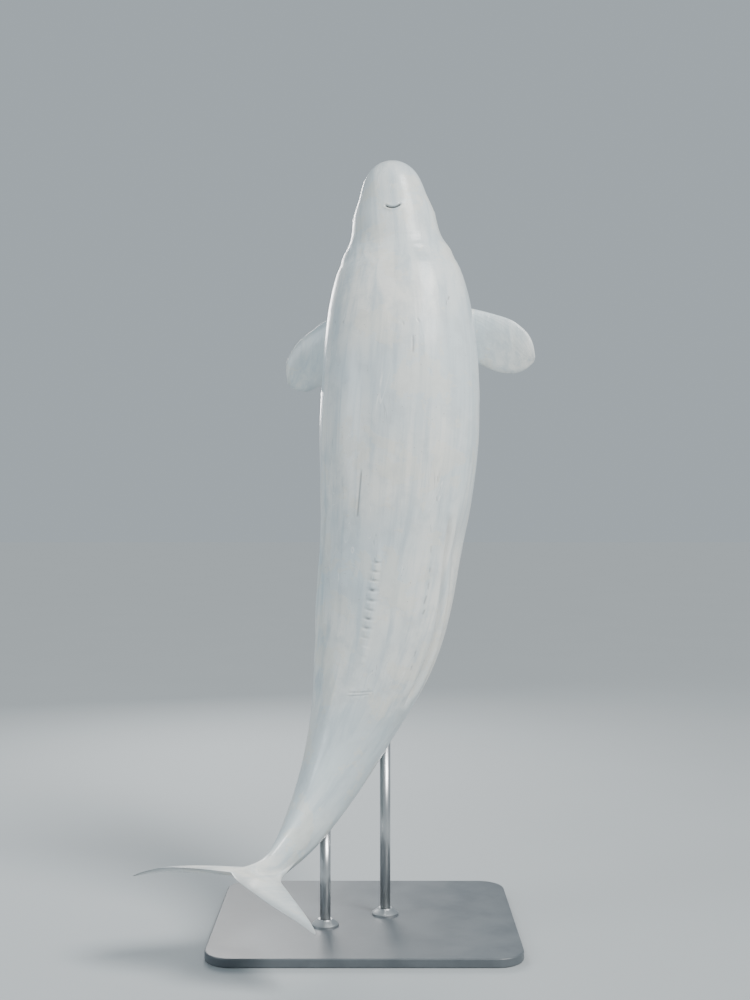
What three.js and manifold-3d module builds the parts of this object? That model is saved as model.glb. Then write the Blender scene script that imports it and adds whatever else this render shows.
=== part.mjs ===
// Life-size beluga whale hanging upright in the water with its back to the viewer, on a plain display stand.
// Millimetres, +Z up, +X to the whale's right, -Y behind its back. The origin is the middle of the base's underside.
import * as THREE from "three";
import { mergeVertices } from "three/addons/utils/BufferGeometryUtils.js";
import Module from "manifold-3d";

const wasm = await Module();
wasm.setup();

// Driving sizes of the whale, measured along its spine from the tip of the beak
const LENGTH = 4310; // to the notch between the flukes
const HEAD_CENTRE = 260; // the point that the face is shaped round
const SHOULDER = 850; // front of the flippers' roots
const FLUKE_ROOT = 3940; // where the flukes' leading edges leave the tail stock
const STOCK_END = 3500; // the last stretch, where the edges grow out of the stock
const SHOULDER_AT = new THREE.Vector3(180, 60, 3144); // place of the spine there, above the base
const GAP = 0.3; // clearance between neighbouring solids

// How fine the surface is
const AROUND = 48; // points round each ring, a multiple of four
const FACE_RINGS = 22; // rings that fan out from the beak's tip to the head's centre
const HEAD_STEP = 26;
const NECK_STEP = 30;
const TRUNK_STEP = 96;
const STOCK_RINGS = 9;
const FLUKE_RINGS = 13;

// Half sizes of the trunk's oval sections: to the side, to the back and to the belly. edge 2 is an ellipse,
// less gives the stock its keels, more makes the section fuller.
const TRUNK = [
  { at: 260, side: 110, back: 120, belly: 40, edge: 2 },
  { at: 420, side: 204, back: 222, belly: 128, edge: 2 },
  { at: 560, side: 292, back: 266, belly: 216, edge: 2.05 }, // neck
  { at: 700, side: 340, back: 312, belly: 296, edge: 2.1 },
  { at: 850, side: 372, back: 350, belly: 360, edge: 2.1 }, // shoulders
  { at: 1100, side: 400, back: 384, belly: 414, edge: 2.1 },
  { at: 1450, side: 412, back: 400, belly: 436, edge: 2.1 }, // fullest girth
  { at: 1800, side: 390, back: 386, belly: 420, edge: 2.1 },
  { at: 2100, side: 360, back: 360, belly: 386, edge: 2.1 },
  { at: 2400, side: 342, back: 338, belly: 352, edge: 2.05 },
  { at: 2700, side: 292, back: 304, belly: 308, edge: 2 },
  { at: 3000, side: 220, back: 262, belly: 256, edge: 1.9 }, // vent
  { at: 3300, side: 158, back: 214, belly: 204, edge: 1.8 },
  { at: 3600, side: 102, back: 158, belly: 142, edge: 1.7 }, // tail stock
  { at: 3800, side: 62, back: 114, belly: 98, edge: 1.7 },
  { at: FLUKE_ROOT, side: 50, back: 82, belly: 66, edge: 1.7 },
];

// How the spine turns, in degrees: turn brings the right side nearer, lean carries the tail to the left,
// flex bends the tail end towards the back.
const BENDS = [
  { at: 0, turn: 0, lean: -4, flex: 17 },
  { at: 560, turn: 0, lean: -4, flex: 13 },
  { at: 900, turn: 4, lean: -1, flex: 4 },
  { at: 1500, turn: 8, lean: 2, flex: 0 },
  { at: 2100, turn: 11, lean: 6.5, flex: 1 },
  { at: 2500, turn: 12, lean: 10, flex: 3 },
  { at: 2700, turn: 13, lean: 15.5, flex: 6 },
  { at: 3000, turn: 15, lean: 17, flex: 12 },
  { at: 3400, turn: 19, lean: 18.5, flex: 31 },
  { at: 3700, turn: 22, lean: 21, flex: 50 },
  { at: 3850, turn: 22.5, lean: 20, flex: 64 },
  { at: FLUKE_ROOT + 60, turn: 22.5, lean: 13, flex: 102 },
  { at: LENGTH + 200, turn: 22.5, lean: 13, flex: 102 },
];

// Egg-shaped forms that the head blends together: centre along the spine and above it, and half sizes
const UPPER_JAW = { at: 190, up: 10, long: 190, side: 118, tall: 58 };
const LOWER_JAW = { at: 200, up: -36, long: 186, side: 106, tall: 54 };
const MELON = { at: 246, up: 122, long: 172, side: 158, tall: 156 };
const SKULL = { at: 410, up: 58, long: 250, side: 212, tall: 212 };
const LIP_BLEND = 14;
const MELON_CREASE = 24;
const CHEEK_BLEND = 70;
const NECK_BLEND = 60;

// Mouth line, eyes, blowhole, navel and vent
const MOUTH = { reach: 80, front: -3.4, corner: 10, rise: 40, half: 5, deep: 15 };
const EYE = { at: 338, up: 44, radius: 20, sunk: 12, lid: 6.5, long: 1.3, tall: 0.88 };
const BLOWHOLE = { at: 398, across: 76, bow: 16, left: 8, half: 5, deep: 16 };
const NAVEL = { from: 1985, to: 2040, half: 7, deep: 12 };
const VENT = { from: 2730, to: 2960, half: 6, deep: 14 };
const CREASE = { at: 585, wide: 30, deep: 5 };

// Flukes: the leading edge's place along the spine by half span, then the rest of the blade
const LEADING_EDGE = [
  { at: 3640, half: 92 },
  { at: 3780, half: 68 },
  { at: 3860, half: 70 },
  { at: 3905, half: 84 },
  { at: FLUKE_ROOT, half: 112 },
  { at: 3990, half: 176 },
  { at: 4060, half: 264 },
  { at: 4130, half: 342 },
  { at: 4200, half: 408 },
  { at: 4255, half: 450 },
  { at: 4285, half: 465 },
];
const FLUKE = {
  half: 465,
  tip: 4299,
  notch: 46,
  notchWide: 46,
  lobe: 44,
  thick: 50,
  tipThick: 12,
  edge: 2.5,
  droop: 122,
  leftCurl: 45,
};

// Flippers: place of the root in the spine's section, span, chords, and how each is swept back and lowered
const FLIPPER = {
  at: 900,
  side: 285,
  belly: 178,
  span: 446,
  pitch: 12,
  thick: 62,
  tipThick: 16,
  curl: 34,
  rake: 38,
};
const FLIPPER_LIE = {
  left: { sweep: 31, fall: 24 },
  right: { sweep: 17, fall: 6 },
};
const FLIPPER_CHORD = [
  { at: 0, half: 122 },
  { at: 0.3, half: 134 },
  { at: 0.58, half: 142 },
  { at: 0.8, half: 118 },
  { at: 0.93, half: 74 },
  { at: 1, half: 22 },
];
const FLIPPER_STEPS = 14;
const FLIPPER_AROUND = 20;

// The low ridge on the back, in place of a fin: a row of knobs
const RIDGE = { from: 2110, to: 2650, knobs: 12, long: 36, side: 19, tall: 15, seed: 7 };

// Display stand
const BASE = { wide: 1520, deep: 1240, thick: 45, corner: 130, bevel: 7 };
const ROD = { radius: 27, sink: 40 };
const COLLAR = { radius: 68, tall: 34 };
const RODS = {
  long: { at: 2800, side: 105, belly: 60 },
  short: { at: 3440, side: 40, belly: 70 },
};

const rad = THREE.MathUtils.degToRad;
const clamp = THREE.MathUtils.clamp;
const lerp = THREE.MathUtils.lerp;

// A smooth curve through the stations' values of one name, with no overshoot between them.
function curveOf(stations, name) {
  const x = stations.map((s) => s.at);
  const y = stations.map((s) => s[name]);
  const last = x.length - 1;
  const rise = (i) => (y[i + 1] - y[i]) / (x[i + 1] - x[i]);
  const slope = x.map((_, i) => {
    if (i === 0) return rise(0);
    if (i === last) return rise(last - 1);
    const before = rise(i - 1);
    const after = rise(i);
    if (before * after <= 0) return 0;
    const a = x[i] - x[i - 1];
    const b = x[i + 1] - x[i];
    return (3 * (a + b)) / ((2 * b + a) / before + (b + 2 * a) / after);
  });
  return (at) => {
    let i = 0;
    while (i < last - 1 && at > x[i + 1]) i++;
    const width = x[i + 1] - x[i];
    const s = clamp((at - x[i]) / width, 0, 1);
    const t = 1 - s;
    return (
      y[i] * (1 + 2 * s) * t * t +
      y[i + 1] * (3 - 2 * s) * s * s +
      width * (slope[i] * s * t * t - slope[i + 1] * s * s * t)
    );
  };
}

// The larger of two numbers, rounded off where they are within blend of each other.
function smoothMax(a, b, blend) {
  const near = Math.max(blend - Math.abs(a - b), 0);
  return Math.max(a, b) + (near * near) / (4 * blend);
}

const bump = (x, wide) => Math.exp(-((x / wide) ** 2));

// Spine: directions at each place, and a table of points along it
const turn = curveOf(BENDS, "turn");
const lean = curveOf(BENDS, "lean");
const flex = curveOf(BENDS, "flex");
const UP = new THREE.Vector3(0, 0, 1);
const AWAY = new THREE.Vector3(0, 1, 0);
const RIGHT = new THREE.Vector3(1, 0, 0);

function axesAt(at) {
  const q = new THREE.Quaternion()
    .setFromAxisAngle(AWAY, rad(lean(at)))
    .multiply(new THREE.Quaternion().setFromAxisAngle(UP, -rad(turn(at))))
    .multiply(new THREE.Quaternion().setFromAxisAngle(RIGHT, -rad(flex(at))));
  return {
    right: RIGHT.clone().applyQuaternion(q),
    back: AWAY.clone().negate().applyQuaternion(q),
    tail: UP.clone().negate().applyQuaternion(q),
  };
}

const SPINE_STEP = 10;
const spine = [new THREE.Vector3()];
for (let at = 0; at < LENGTH + 200; at += SPINE_STEP) {
  spine.push(spine.at(-1).clone().addScaledVector(axesAt(at + SPINE_STEP / 2).tail, SPINE_STEP));
}
const spineShift = SHOULDER_AT.clone().sub(spine[SHOULDER / SPINE_STEP]);
spine.forEach((p) => p.add(spineShift));

function frameAt(at) {
  const i = clamp(Math.floor(at / SPINE_STEP), 0, spine.length - 2);
  const centre = spine[i].clone().lerp(spine[i + 1], at / SPINE_STEP - i);
  return { centre, ...axesAt(at) };
}

// A point given in the spine's own directions at one place along it.
function place(at, side, up, along = 0) {
  const f = frameAt(at);
  return f.centre
    .addScaledVector(f.right, side)
    .addScaledVector(f.back, up)
    .addScaledVector(f.tail, along);
}

// How far a ray from a point on the spine runs before it leaves one of the head's forms.
function exitOf(form, at, forward, side, up) {
  const a = (forward / form.long) ** 2 + (side / form.side) ** 2 + (up / form.tall) ** 2;
  const fromAt = form.at - at;
  const b = (forward * fromAt) / form.long ** 2 - (up * form.up) / form.tall ** 2;
  const c = (fromAt / form.long) ** 2 + (form.up / form.tall) ** 2 - 1;
  const inside = b * b - a * c;
  return inside <= 0 ? -1e3 : (-b + Math.sqrt(inside)) / a;
}

function headRadius(at, forward, side, up) {
  const jaw = smoothMax(
    exitOf(UPPER_JAW, at, forward, side, up),
    exitOf(LOWER_JAW, at, forward, side, up),
    LIP_BLEND,
  );
  const skull = exitOf(SKULL, at, forward, side, up);
  const dome = smoothMax(exitOf(MELON, at, forward, side, up), skull, CHEEK_BLEND);
  return smoothMax(dome, smoothMax(jaw, skull, CHEEK_BLEND / 2), MELON_CREASE);
}

const trunkSide = curveOf(TRUNK, "side");
const trunkBack = curveOf(TRUNK, "back");
const trunkBelly = curveOf(TRUNK, "belly");
const trunkEdge = curveOf(TRUNK, "edge");

function trunkRadius(at, angle) {
  const side = Math.cos(angle);
  const up = Math.sin(angle);
  const edge = trunkEdge(at);
  const tall = up > 0 ? trunkBack(at) : trunkBelly(at);
  const oval = (Math.abs(side) / trunkSide(at)) ** edge + (Math.abs(up) / tall) ** edge;
  const trunk = oval ** (-1 / edge);
  const whole = smoothMax(trunk, headRadius(at, 0, side, up), NECK_BLEND);
  return whole - CREASE.deep * bump(at - CREASE.at - 40 * up, CREASE.wide);
}

function facePoint(share, angle, grow) {
  const from = (Math.PI / 2) * share;
  const forward = Math.cos(from);
  const side = Math.sin(from) * Math.cos(angle);
  const up = Math.sin(from) * Math.sin(angle);
  const reach = headRadius(HEAD_CENTRE, forward, side, up) + grow;
  return place(HEAD_CENTRE, side * reach, up * reach, -forward * reach);
}

// Points round a section lie as on an ellipse, so that the keels get as many as the flanks.
function trunkPoint(at, angle, grow) {
  const tall = Math.sin(angle) > 0 ? trunkBack(at) : trunkBelly(at);
  const oval = Math.atan2(tall * Math.sin(angle), trunkSide(at) * Math.cos(angle));
  const apart = Math.atan2(Math.sin(oval - angle), Math.cos(oval - angle));
  const aim = angle + apart * clamp((at - 700) / 800, 0, 1);
  const reach = trunkRadius(at, aim) + grow;
  return place(at, Math.cos(aim) * reach, Math.sin(aim) * reach);
}

// Flukes: edges and thickness at a place across the span
const edgeHalf = curveOf(LEADING_EDGE, "half");
const edgeSide = (at) => Math.max(edgeHalf(at), at < 3760 ? trunkSide(at) : 0);

function leadingEdge(x) {
  let low = 3820;
  let high = LEADING_EDGE.at(-1).at;
  for (let i = 0; i < 24; i++) {
    const at = (low + high) / 2;
    if (edgeHalf(at) < Math.abs(x)) low = at;
    else high = at;
  }
  return low;
}

const trailingEdge = (x) => {
  const out = Math.min(Math.abs(x) / FLUKE.half, 1);
  const lobe = FLUKE.lobe * Math.sin(Math.PI * Math.min(out * 1.25, 1)) ** 0.8;
  const notch = FLUKE.notch * bump(x, FLUKE.notchWide);
  return lerp(LENGTH + FLUKE.notch, FLUKE.tip, out ** 2) + lobe - notch;
};

// Half thickness of a smooth foil at a share of its chord.
const foil = (c) =>
  5 * (0.2969 * Math.sqrt(c) - 0.126 * c - 0.3516 * c ** 2 + 0.2843 * c ** 3 - 0.1036 * c ** 4);

// A section of the tail, at one place along it or at a share of the way over the flukes.
function tailPoint(where, angle, grow) {
  const share = Math.max(where - 1, 0);
  const before = Math.min(where, 1);
  const stockAt = lerp(STOCK_END, FLUKE_ROOT, before);
  const reachOf = (x) => lerp(stockAt, trailingEdge(x), share);
  let half = edgeSide(stockAt);
  if (share > 0) {
    let high = FLUKE.half;
    for (let i = 0; i < 24; i++) {
      const x = (half + high) / 2;
      if (edgeHalf(reachOf(x)) > x) half = x;
      else high = x;
    }
  }
  half += grow;
  const c = Math.cos(angle);
  const up = Math.sin(angle);
  const centred = clamp(130 / half, 0.3, 1);
  const x = half * c * (centred + (1 - centred) * c * c);
  const at = reachOf(x);
  const out = Math.min(Math.abs(x) / FLUKE.half, 1);
  const front = leadingEdge(x);
  const chord = clamp((at - front) / (trailingEdge(x) - front), 0, 1);
  const blade = lerp(FLUKE.thick, FLUKE.tipThick, out ** 0.8) * foil(chord);
  const edge = trunkEdge(stockAt);
  const tall = (up > 0 ? trunkBack : trunkBelly)(stockAt) * (1 - share) ** 1.6;
  const across = Math.abs(x) / lerp(trunkSide(stockAt), 40, share);
  const keel = across < 1 ? tall * (1 - across ** edge) ** (1 / edge) : 0;
  const thin = smoothMax(blade + FLUKE.edge, keel, 1 + 25 * (1 - share));
  const closed = Math.min(1, (1 - Math.abs(c)) * 12);
  const droop = FLUKE.droop * out ** 1.15 + (x < 0 ? FLUKE.leftCurl * out ** 5 : 0);
  return place(at, x, Math.sign(up) * (thin * closed + grow) - droop);
}

// Rings from the beak's tip to the flukes' trailing edge
function rings(grow) {
  const made = [];
  const ring = (point, value) => {
    const points = [];
    for (let i = 0; i < AROUND; i++) points.push(point(value, (2 * Math.PI * i) / AROUND, grow));
    made.push(points);
  };
  for (let i = 1; i < FACE_RINGS; i++) ring(facePoint, i / FACE_RINGS);
  let at = HEAD_CENTRE;
  while (at < STOCK_END - TRUNK_STEP / 2) {
    ring(trunkPoint, at);
    at += at < 520 ? HEAD_STEP : at < 680 ? NECK_STEP : TRUNK_STEP;
  }
  for (let i = 0; i < STOCK_RINGS; i++) ring(tailPoint, (i / STOCK_RINGS) ** 0.8);
  for (let i = 0; i <= FLUKE_RINGS; i++) ring(tailPoint, 1 + (i / FLUKE_RINGS) ** 1.15);
  return made;
}

// Closes the rings into one surface: a point at the beak's tip, and the trailing edge zipped up.
function bodyGeometry(grow = 0) {
  const all = rings(grow);
  const points = [facePoint(0, 0, grow), ...all.flat()];
  const index = [];
  const id = (r, i) => 1 + r * AROUND + (i % AROUND);
  for (let i = 0; i < AROUND; i++) index.push(0, id(0, i + 1), id(0, i));
  for (let r = 0; r < all.length - 1; r++) {
    for (let i = 0; i < AROUND; i++) {
      index.push(id(r, i), id(r, i + 1), id(r + 1, i));
      index.push(id(r, i + 1), id(r + 1, i + 1), id(r + 1, i));
    }
  }
  const end = all.length - 1;
  for (let i = 0; i < AROUND / 2; i++) {
    const under = AROUND - i;
    index.push(id(end, i), id(end, i + 1), id(end, under));
    if (i + 1 < AROUND / 2) index.push(id(end, i + 1), id(end, under - 1), id(end, under));
  }
  return surface(points, index);
}

function surface(points, index) {
  const geometry = new THREE.BufferGeometry();
  geometry.setAttribute("position", new THREE.Float32BufferAttribute(points.flatMap((p) => p.toArray()), 3));
  geometry.setIndex(index);
  return geometry;
}

// Solids: a closed geometry becomes one that can be joined and cut
function solid(geometry) {
  const bare = new THREE.BufferGeometry().setAttribute("position", geometry.getAttribute("position"));
  if (geometry.index) bare.setIndex(geometry.index);
  const merged = mergeVertices(bare, 1e-3);
  const made = new wasm.Manifold(
    new wasm.Mesh({
      numProp: 3,
      vertProperties: new Float32Array(merged.attributes.position.array),
      triVerts: new Uint32Array(merged.index.array),
    }),
  );
  if (made.volume() < 0) throw new Error("a surface is inside out");
  return made;
}

const largest = (made) => made.decompose().sort((a, b) => b.volume() - a.volume())[0];

// Cuts off what lies headwards of one place along the spine and tailwards of another.
function between(whole, from, to) {
  let made = whole;
  if (from !== null) {
    const f = frameAt(from);
    made = made.trimByPlane(f.tail.toArray(), f.centre.dot(f.tail) + GAP / 2);
  }
  if (to !== null) {
    const f = frameAt(to);
    const headwards = f.tail.clone().negate();
    made = made.trimByPlane(headwards.toArray(), f.centre.dot(headwards) + GAP / 2);
  }
  return largest(made);
}

// A groove tool: a wedge swept along points on the skin, with its keen edge deep in the flesh.
function wedge(path, half, deep) {
  const points = [];
  path.forEach(({ at, out, across }, i) => {
    const shrink = Math.sin(Math.PI * clamp((i + 0.35) / (path.length - 0.3), 0, 1)) ** 0.4;
    const depth = deep * shrink;
    points.push(at.clone().addScaledVector(out, -depth));
    points.push(at.clone().addScaledVector(out, deep * 0.4).addScaledVector(across, half * 1.4 * shrink));
    points.push(at.clone().addScaledVector(out, deep * 0.4).addScaledVector(across, -half * 1.4 * shrink));
  });
  const index = [0, 1, 2];
  for (let i = 0; i < path.length - 1; i++) {
    for (let k = 0; k < 3; k++) {
      const a = 3 * i + k;
      const b = 3 * i + ((k + 1) % 3);
      index.push(a, a + 3, b, b, a + 3, b + 3);
    }
  }
  const end = 3 * (path.length - 1);
  index.push(end, end + 2, end + 1);
  const made = surface(points, index);
  return signedVolume(points, index) < 0 ? surface(points, flipped(index)) : made;
}

function signedVolume(points, index) {
  let sum = 0;
  for (let i = 0; i < index.length; i += 3) {
    const [a, b, c] = [points[index[i]], points[index[i + 1]], points[index[i + 2]]];
    sum += a.dot(new THREE.Vector3().crossVectors(b, c));
  }
  return sum;
}

function flipped(index) {
  const made = index.slice();
  for (let i = 0; i < made.length; i += 3) [made[i + 1], made[i + 2]] = [made[i + 2], made[i + 1]];
  return made;
}

// Mouth line: left corner, round the beak, right corner
function mouthPath() {
  const f = frameAt(HEAD_CENTRE);
  const path = [];
  const steps = 36;
  for (let i = 0; i <= steps; i++) {
    const bearing = lerp(-MOUTH.reach, MOUTH.reach, i / steps);
    const curl = clamp((Math.abs(bearing) - MOUTH.rise) / (MOUTH.reach - MOUTH.rise), 0, 1);
    const tilt = rad(lerp(MOUTH.front, MOUTH.corner, curl ** 1.6));
    const forward = Math.cos(rad(bearing)) * Math.cos(tilt);
    const side = Math.sin(rad(bearing)) * Math.cos(tilt);
    const up = Math.sin(tilt);
    const reach = headRadius(HEAD_CENTRE, forward, side, up);
    const out = new THREE.Vector3()
      .addScaledVector(f.tail, -forward)
      .addScaledVector(f.right, side)
      .addScaledVector(f.back, up);
    path.push({ at: place(HEAD_CENTRE, side * reach, up * reach, -forward * reach), out, across: f.back });
  }
  return path;
}

// A line over the back or belly, from points given as places along the spine and to the side
function skinPath(spots, up, across) {
  return spots.map(([at, side]) => {
    const f = frameAt(at);
    const angle = Math.atan2(up * trunkBack(at), side);
    const out = f.back.clone().multiplyScalar(up);
    return { at: trunkPoint(at, angle, 0), out, across: across(f) };
  });
}

function blowholePath() {
  const spots = [];
  for (let i = 0; i <= 12; i++) {
    const u = i / 6 - 1;
    spots.push([BLOWHOLE.at - BLOWHOLE.bow * u * u, (u * BLOWHOLE.across) / 2 - BLOWHOLE.left]);
  }
  return skinPath(spots, 1, (f) => f.tail);
}

function slitPath(from, to) {
  const spots = [];
  for (let i = 0; i <= 8; i++) spots.push([lerp(from, to, i / 8), 0]);
  return skinPath(spots, -1, (f) => f.right);
}

// Eyes: where the eyeball sits, on the left (-1) or right (1)
function eyeSeat(which) {
  const reachAt = (at, up) => {
    let angle = Math.atan2(up, 200);
    for (let i = 0; i < 6; i++) angle = Math.asin(clamp(up / trunkRadius(at, angle), -1, 1));
    return new THREE.Vector3(trunkRadius(at, angle) * Math.cos(angle) * which, up, at);
  };
  const seat = reachAt(EYE.at, EYE.up);
  const along = reachAt(EYE.at + 8, EYE.up).sub(seat);
  const upward = reachAt(EYE.at, EYE.up + 8).sub(seat);
  const out = new THREE.Vector3().crossVectors(upward, along).normalize();
  if (out.x * which < 0) out.negate();
  const f = frameAt(EYE.at);
  const world = new THREE.Vector3()
    .addScaledVector(f.right, out.x)
    .addScaledVector(f.back, out.y)
    .addScaledVector(f.tail, out.z);
  const centre = place(EYE.at, seat.x, seat.y).addScaledVector(world, -EYE.sunk);
  return { centre, out: world, tail: f.tail };
}

function ball(radius) {
  return new THREE.SphereGeometry(radius, 16, 10);
}

function lidRing(seat) {
  const across = seat.tail.clone().addScaledVector(seat.out, -seat.tail.dot(seat.out)).normalize();
  const upward = new THREE.Vector3().crossVectors(seat.out, across);
  const turned = new THREE.Matrix4().makeBasis(across, upward, seat.out);
  const ring = new THREE.TorusGeometry(EYE.radius - 1, EYE.lid, 8, 22);
  ring.scale(EYE.long, EYE.tall, 1);
  ring.applyMatrix4(turned);
  const lift = seat.centre.clone().addScaledVector(seat.out, EYE.sunk - 2.5);
  return ring.translate(lift.x, lift.y, lift.z);
}

// Flipper of one side: a foil-shaped paddle lofted from its root to its rounded tip
const flipperHalf = curveOf(FLIPPER_CHORD, "half");

function flipperGeometry(which, lie) {
  const f = frameAt(FLIPPER.at);
  const side = f.right.clone().multiplyScalar(which);
  const span = side
    .clone()
    .multiplyScalar(Math.cos(rad(lie.sweep)))
    .addScaledVector(f.tail, Math.sin(rad(lie.sweep)))
    .addScaledVector(f.back, -Math.sin(rad(lie.fall)))
    .normalize();
  const flat = f.tail.clone().addScaledVector(span, -f.tail.dot(span)).normalize();
  const face = f.back.clone().addScaledVector(span, -f.back.dot(span)).normalize();
  const tilt = rad(FLIPPER.pitch);
  const chord = flat.clone().multiplyScalar(Math.cos(tilt)).addScaledVector(face, -Math.sin(tilt));
  const normal = face.clone().multiplyScalar(Math.cos(tilt)).addScaledVector(flat, Math.sin(tilt));
  const root = place(FLIPPER.at, which * FLIPPER.side, -FLIPPER.belly);
  const points = [];
  for (let i = 0; i <= FLIPPER_STEPS; i++) {
    const share = 1 - (1 - i / FLIPPER_STEPS) ** 1.5;
    const half = flipperHalf(share);
    const thick = lerp(FLIPPER.thick, FLIPPER.tipThick, share ** 0.7);
    for (let k = 0; k < FLIPPER_AROUND; k++) {
      const angle = (2 * Math.PI * k) / FLIPPER_AROUND;
      const c = (1 - Math.cos(angle)) / 2;
      const height = thick * foil(c) + 2.5 * Math.abs(Math.sin(angle));
      const lift = FLIPPER.curl * share ** 3;
      const slide = FLIPPER.rake * share * share;
      points.push(
        root
          .clone()
          .addScaledVector(span, FLIPPER.span * share)
          .addScaledVector(chord, (2 * c - 1) * half + slide)
          .addScaledVector(normal, Math.sign(Math.sin(angle)) * height * (k % (FLIPPER_AROUND / 2) ? 1 : 0) + lift),
      );
    }
  }
  const index = [];
  const id = (r, k) => r * FLIPPER_AROUND + (k % FLIPPER_AROUND);
  for (let r = 0; r < FLIPPER_STEPS; r++) {
    for (let k = 0; k < FLIPPER_AROUND; k++) {
      index.push(id(r, k), id(r + 1, k), id(r, k + 1), id(r, k + 1), id(r + 1, k), id(r + 1, k + 1));
    }
  }
  for (const r of [0, FLIPPER_STEPS]) {
    const fan = [];
    for (let k = 0; k < FLIPPER_AROUND / 2; k++) {
      const under = FLIPPER_AROUND - k;
      fan.push(id(r, k), id(r, k + 1), id(r, under));
      if (k + 1 < FLIPPER_AROUND / 2) fan.push(id(r, k + 1), id(r, under - 1), id(r, under));
    }
    index.push(...(r ? flipped(fan) : fan));
  }
  return surface(points, signedVolume(points, index) < 0 ? flipped(index) : index);
}

// The back's ridge: knobs of uneven size, each overlapping the next
function seededRandom(seed) {
  let state = seed;
  return () => {
    state = (state * 16807) % 2147483647;
    return state / 2147483647;
  };
}

function ridgeSolid() {
  const random = seededRandom(RIDGE.seed);
  const knobs = [];
  for (let i = 0; i < RIDGE.knobs; i++) {
    const share = i / (RIDGE.knobs - 1);
    const size = (0.72 + 0.5 * Math.sin(Math.PI * share)) * (0.92 + 0.16 * random());
    const at = lerp(RIDGE.from, RIDGE.to, share);
    const f = frameAt(at);
    const knob = new THREE.SphereGeometry(1, 10, 6);
    knob.scale(RIDGE.side * size, RIDGE.tall * size, RIDGE.long);
    knob.applyMatrix4(new THREE.Matrix4().makeBasis(f.right, f.back, f.tail));
    const seat = place(at, (random() - 0.5) * 4, trunkRadius(at, Math.PI / 2) - 2);
    knob.translate(seat.x, seat.y, seat.z);
    knobs.push(solid(knob));
  }
  return wasm.Manifold.union(knobs);
}

// Stand: plate, rods that run up into the whale, and a collar at each rod's foot
function plateGeometry() {
  const x = BASE.wide / 2 - BASE.bevel;
  const y = BASE.deep / 2 - BASE.bevel;
  const r = BASE.corner;
  const outline = new THREE.Shape();
  outline.moveTo(x - r, -y).absarc(x - r, r - y, r, -Math.PI / 2, 0);
  outline.lineTo(x, y - r).absarc(x - r, y - r, r, 0, Math.PI / 2);
  outline.lineTo(r - x, y).absarc(r - x, y - r, r, Math.PI / 2, Math.PI);
  outline.lineTo(-x, r - y).absarc(r - x, r - y, r, Math.PI, 1.5 * Math.PI);
  return new THREE.ExtrudeGeometry(outline, {
    depth: BASE.thick - 2 * BASE.bevel,
    bevelThickness: BASE.bevel,
    bevelSize: BASE.bevel,
    bevelSegments: 2,
    curveSegments: 6,
  }).translate(0, 0, BASE.bevel);
}

function rodTop({ at, side, belly }) {
  return place(at, side, -belly);
}

function rodGeometry(top) {
  const foot = BASE.thick + GAP;
  const tall = top.z + ROD.sink - foot;
  return new THREE.CylinderGeometry(ROD.radius, ROD.radius, tall, 24)
    .rotateX(Math.PI / 2)
    .translate(top.x, top.y, foot + tall / 2);
}

function collarGeometry(top) {
  const inner = ROD.radius + GAP;
  const low = BASE.thick + GAP;
  const high = low + COLLAR.tall;
  const profile = [
    [inner, low],
    [COLLAR.radius, low],
    [COLLAR.radius, low + 10],
    [COLLAR.radius - 8, low + 16],
    [inner + 12, high - 4],
    [inner + 8, high],
    [inner, high],
    [inner, low],
  ].map(([x, y]) => new THREE.Vector2(x, y));
  return new THREE.LatheGeometry(profile, 24).rotateX(Math.PI / 2).translate(top.x, top.y, 0);
}

// Materials
const finish = (color, roughness, metalness = 0) =>
  new THREE.MeshStandardMaterial({ color, roughness, metalness });
const skin = finish(0xe4e9ea, 0.42);
const iris = finish(0x1d1a18, 0.08);
const steel = finish(0x9ea3a6, 0.32, 1);
const plate = finish(0x3b4247, 0.5);

const whale = new THREE.Group();

function add(name, made, material) {
  const { vertProperties, triVerts } = made.getMesh();
  const geometry = new THREE.BufferGeometry();
  geometry.setAttribute("position", new THREE.BufferAttribute(new Float32Array(vertProperties), 3));
  geometry.setIndex(new THREE.BufferAttribute(new Uint32Array(triVerts), 1));
  geometry.computeVertexNormals();
  const mesh = new THREE.Mesh(geometry, material);
  mesh.name = name;
  whale.add(mesh);
}

// Flesh
let body = solid(bodyGeometry());
const around = solid(bodyGeometry(GAP));
const SIDES = { left: -1, right: 1 };
for (const which of Object.values(SIDES)) {
  const seat = eyeSeat(which);
  const { x, y, z } = seat.centre;
  body = body.add(solid(lidRing(seat))).subtract(solid(ball(EYE.radius + GAP).translate(x, y, z)));
}
const grooves = [
  wedge(mouthPath(), MOUTH.half, MOUTH.deep),
  wedge(blowholePath(), BLOWHOLE.half, BLOWHOLE.deep),
  wedge(slitPath(NAVEL.from, NAVEL.to), NAVEL.half, NAVEL.deep),
  wedge(slitPath(VENT.from, VENT.to), VENT.half, VENT.deep),
];
for (const groove of grooves) body = body.subtract(solid(groove));
body = body.add(ridgeSolid());

const PARTS = { head: [null, 555], neck: [555, 830], chest: [830, 1830], belly: [1830, 2790] };
for (const [name, [from, to]] of Object.entries(PARTS)) add(name, between(body, from, to), skin);
add("tail_stock", between(body, 2790, FLUKE_ROOT - 12), skin);

const flukes = between(body, FLUKE_ROOT - 12, null);
const middle = frameAt(FLUKE_ROOT);
for (const [name, which] of Object.entries(SIDES)) {
  const outward = middle.right.clone().multiplyScalar(which);
  const half = flukes.trimByPlane(outward.toArray(), middle.centre.dot(outward) + GAP / 2);
  add(`fluke_${name}`, largest(half), skin);
  add(`flipper_${name}`, largest(solid(flipperGeometry(which, FLIPPER_LIE[name])).subtract(around)), skin);
  const { x, y, z } = eyeSeat(which).centre;
  add(`eye_${name}`, solid(ball(EYE.radius).translate(x, y, z)), iris);
}

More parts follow.
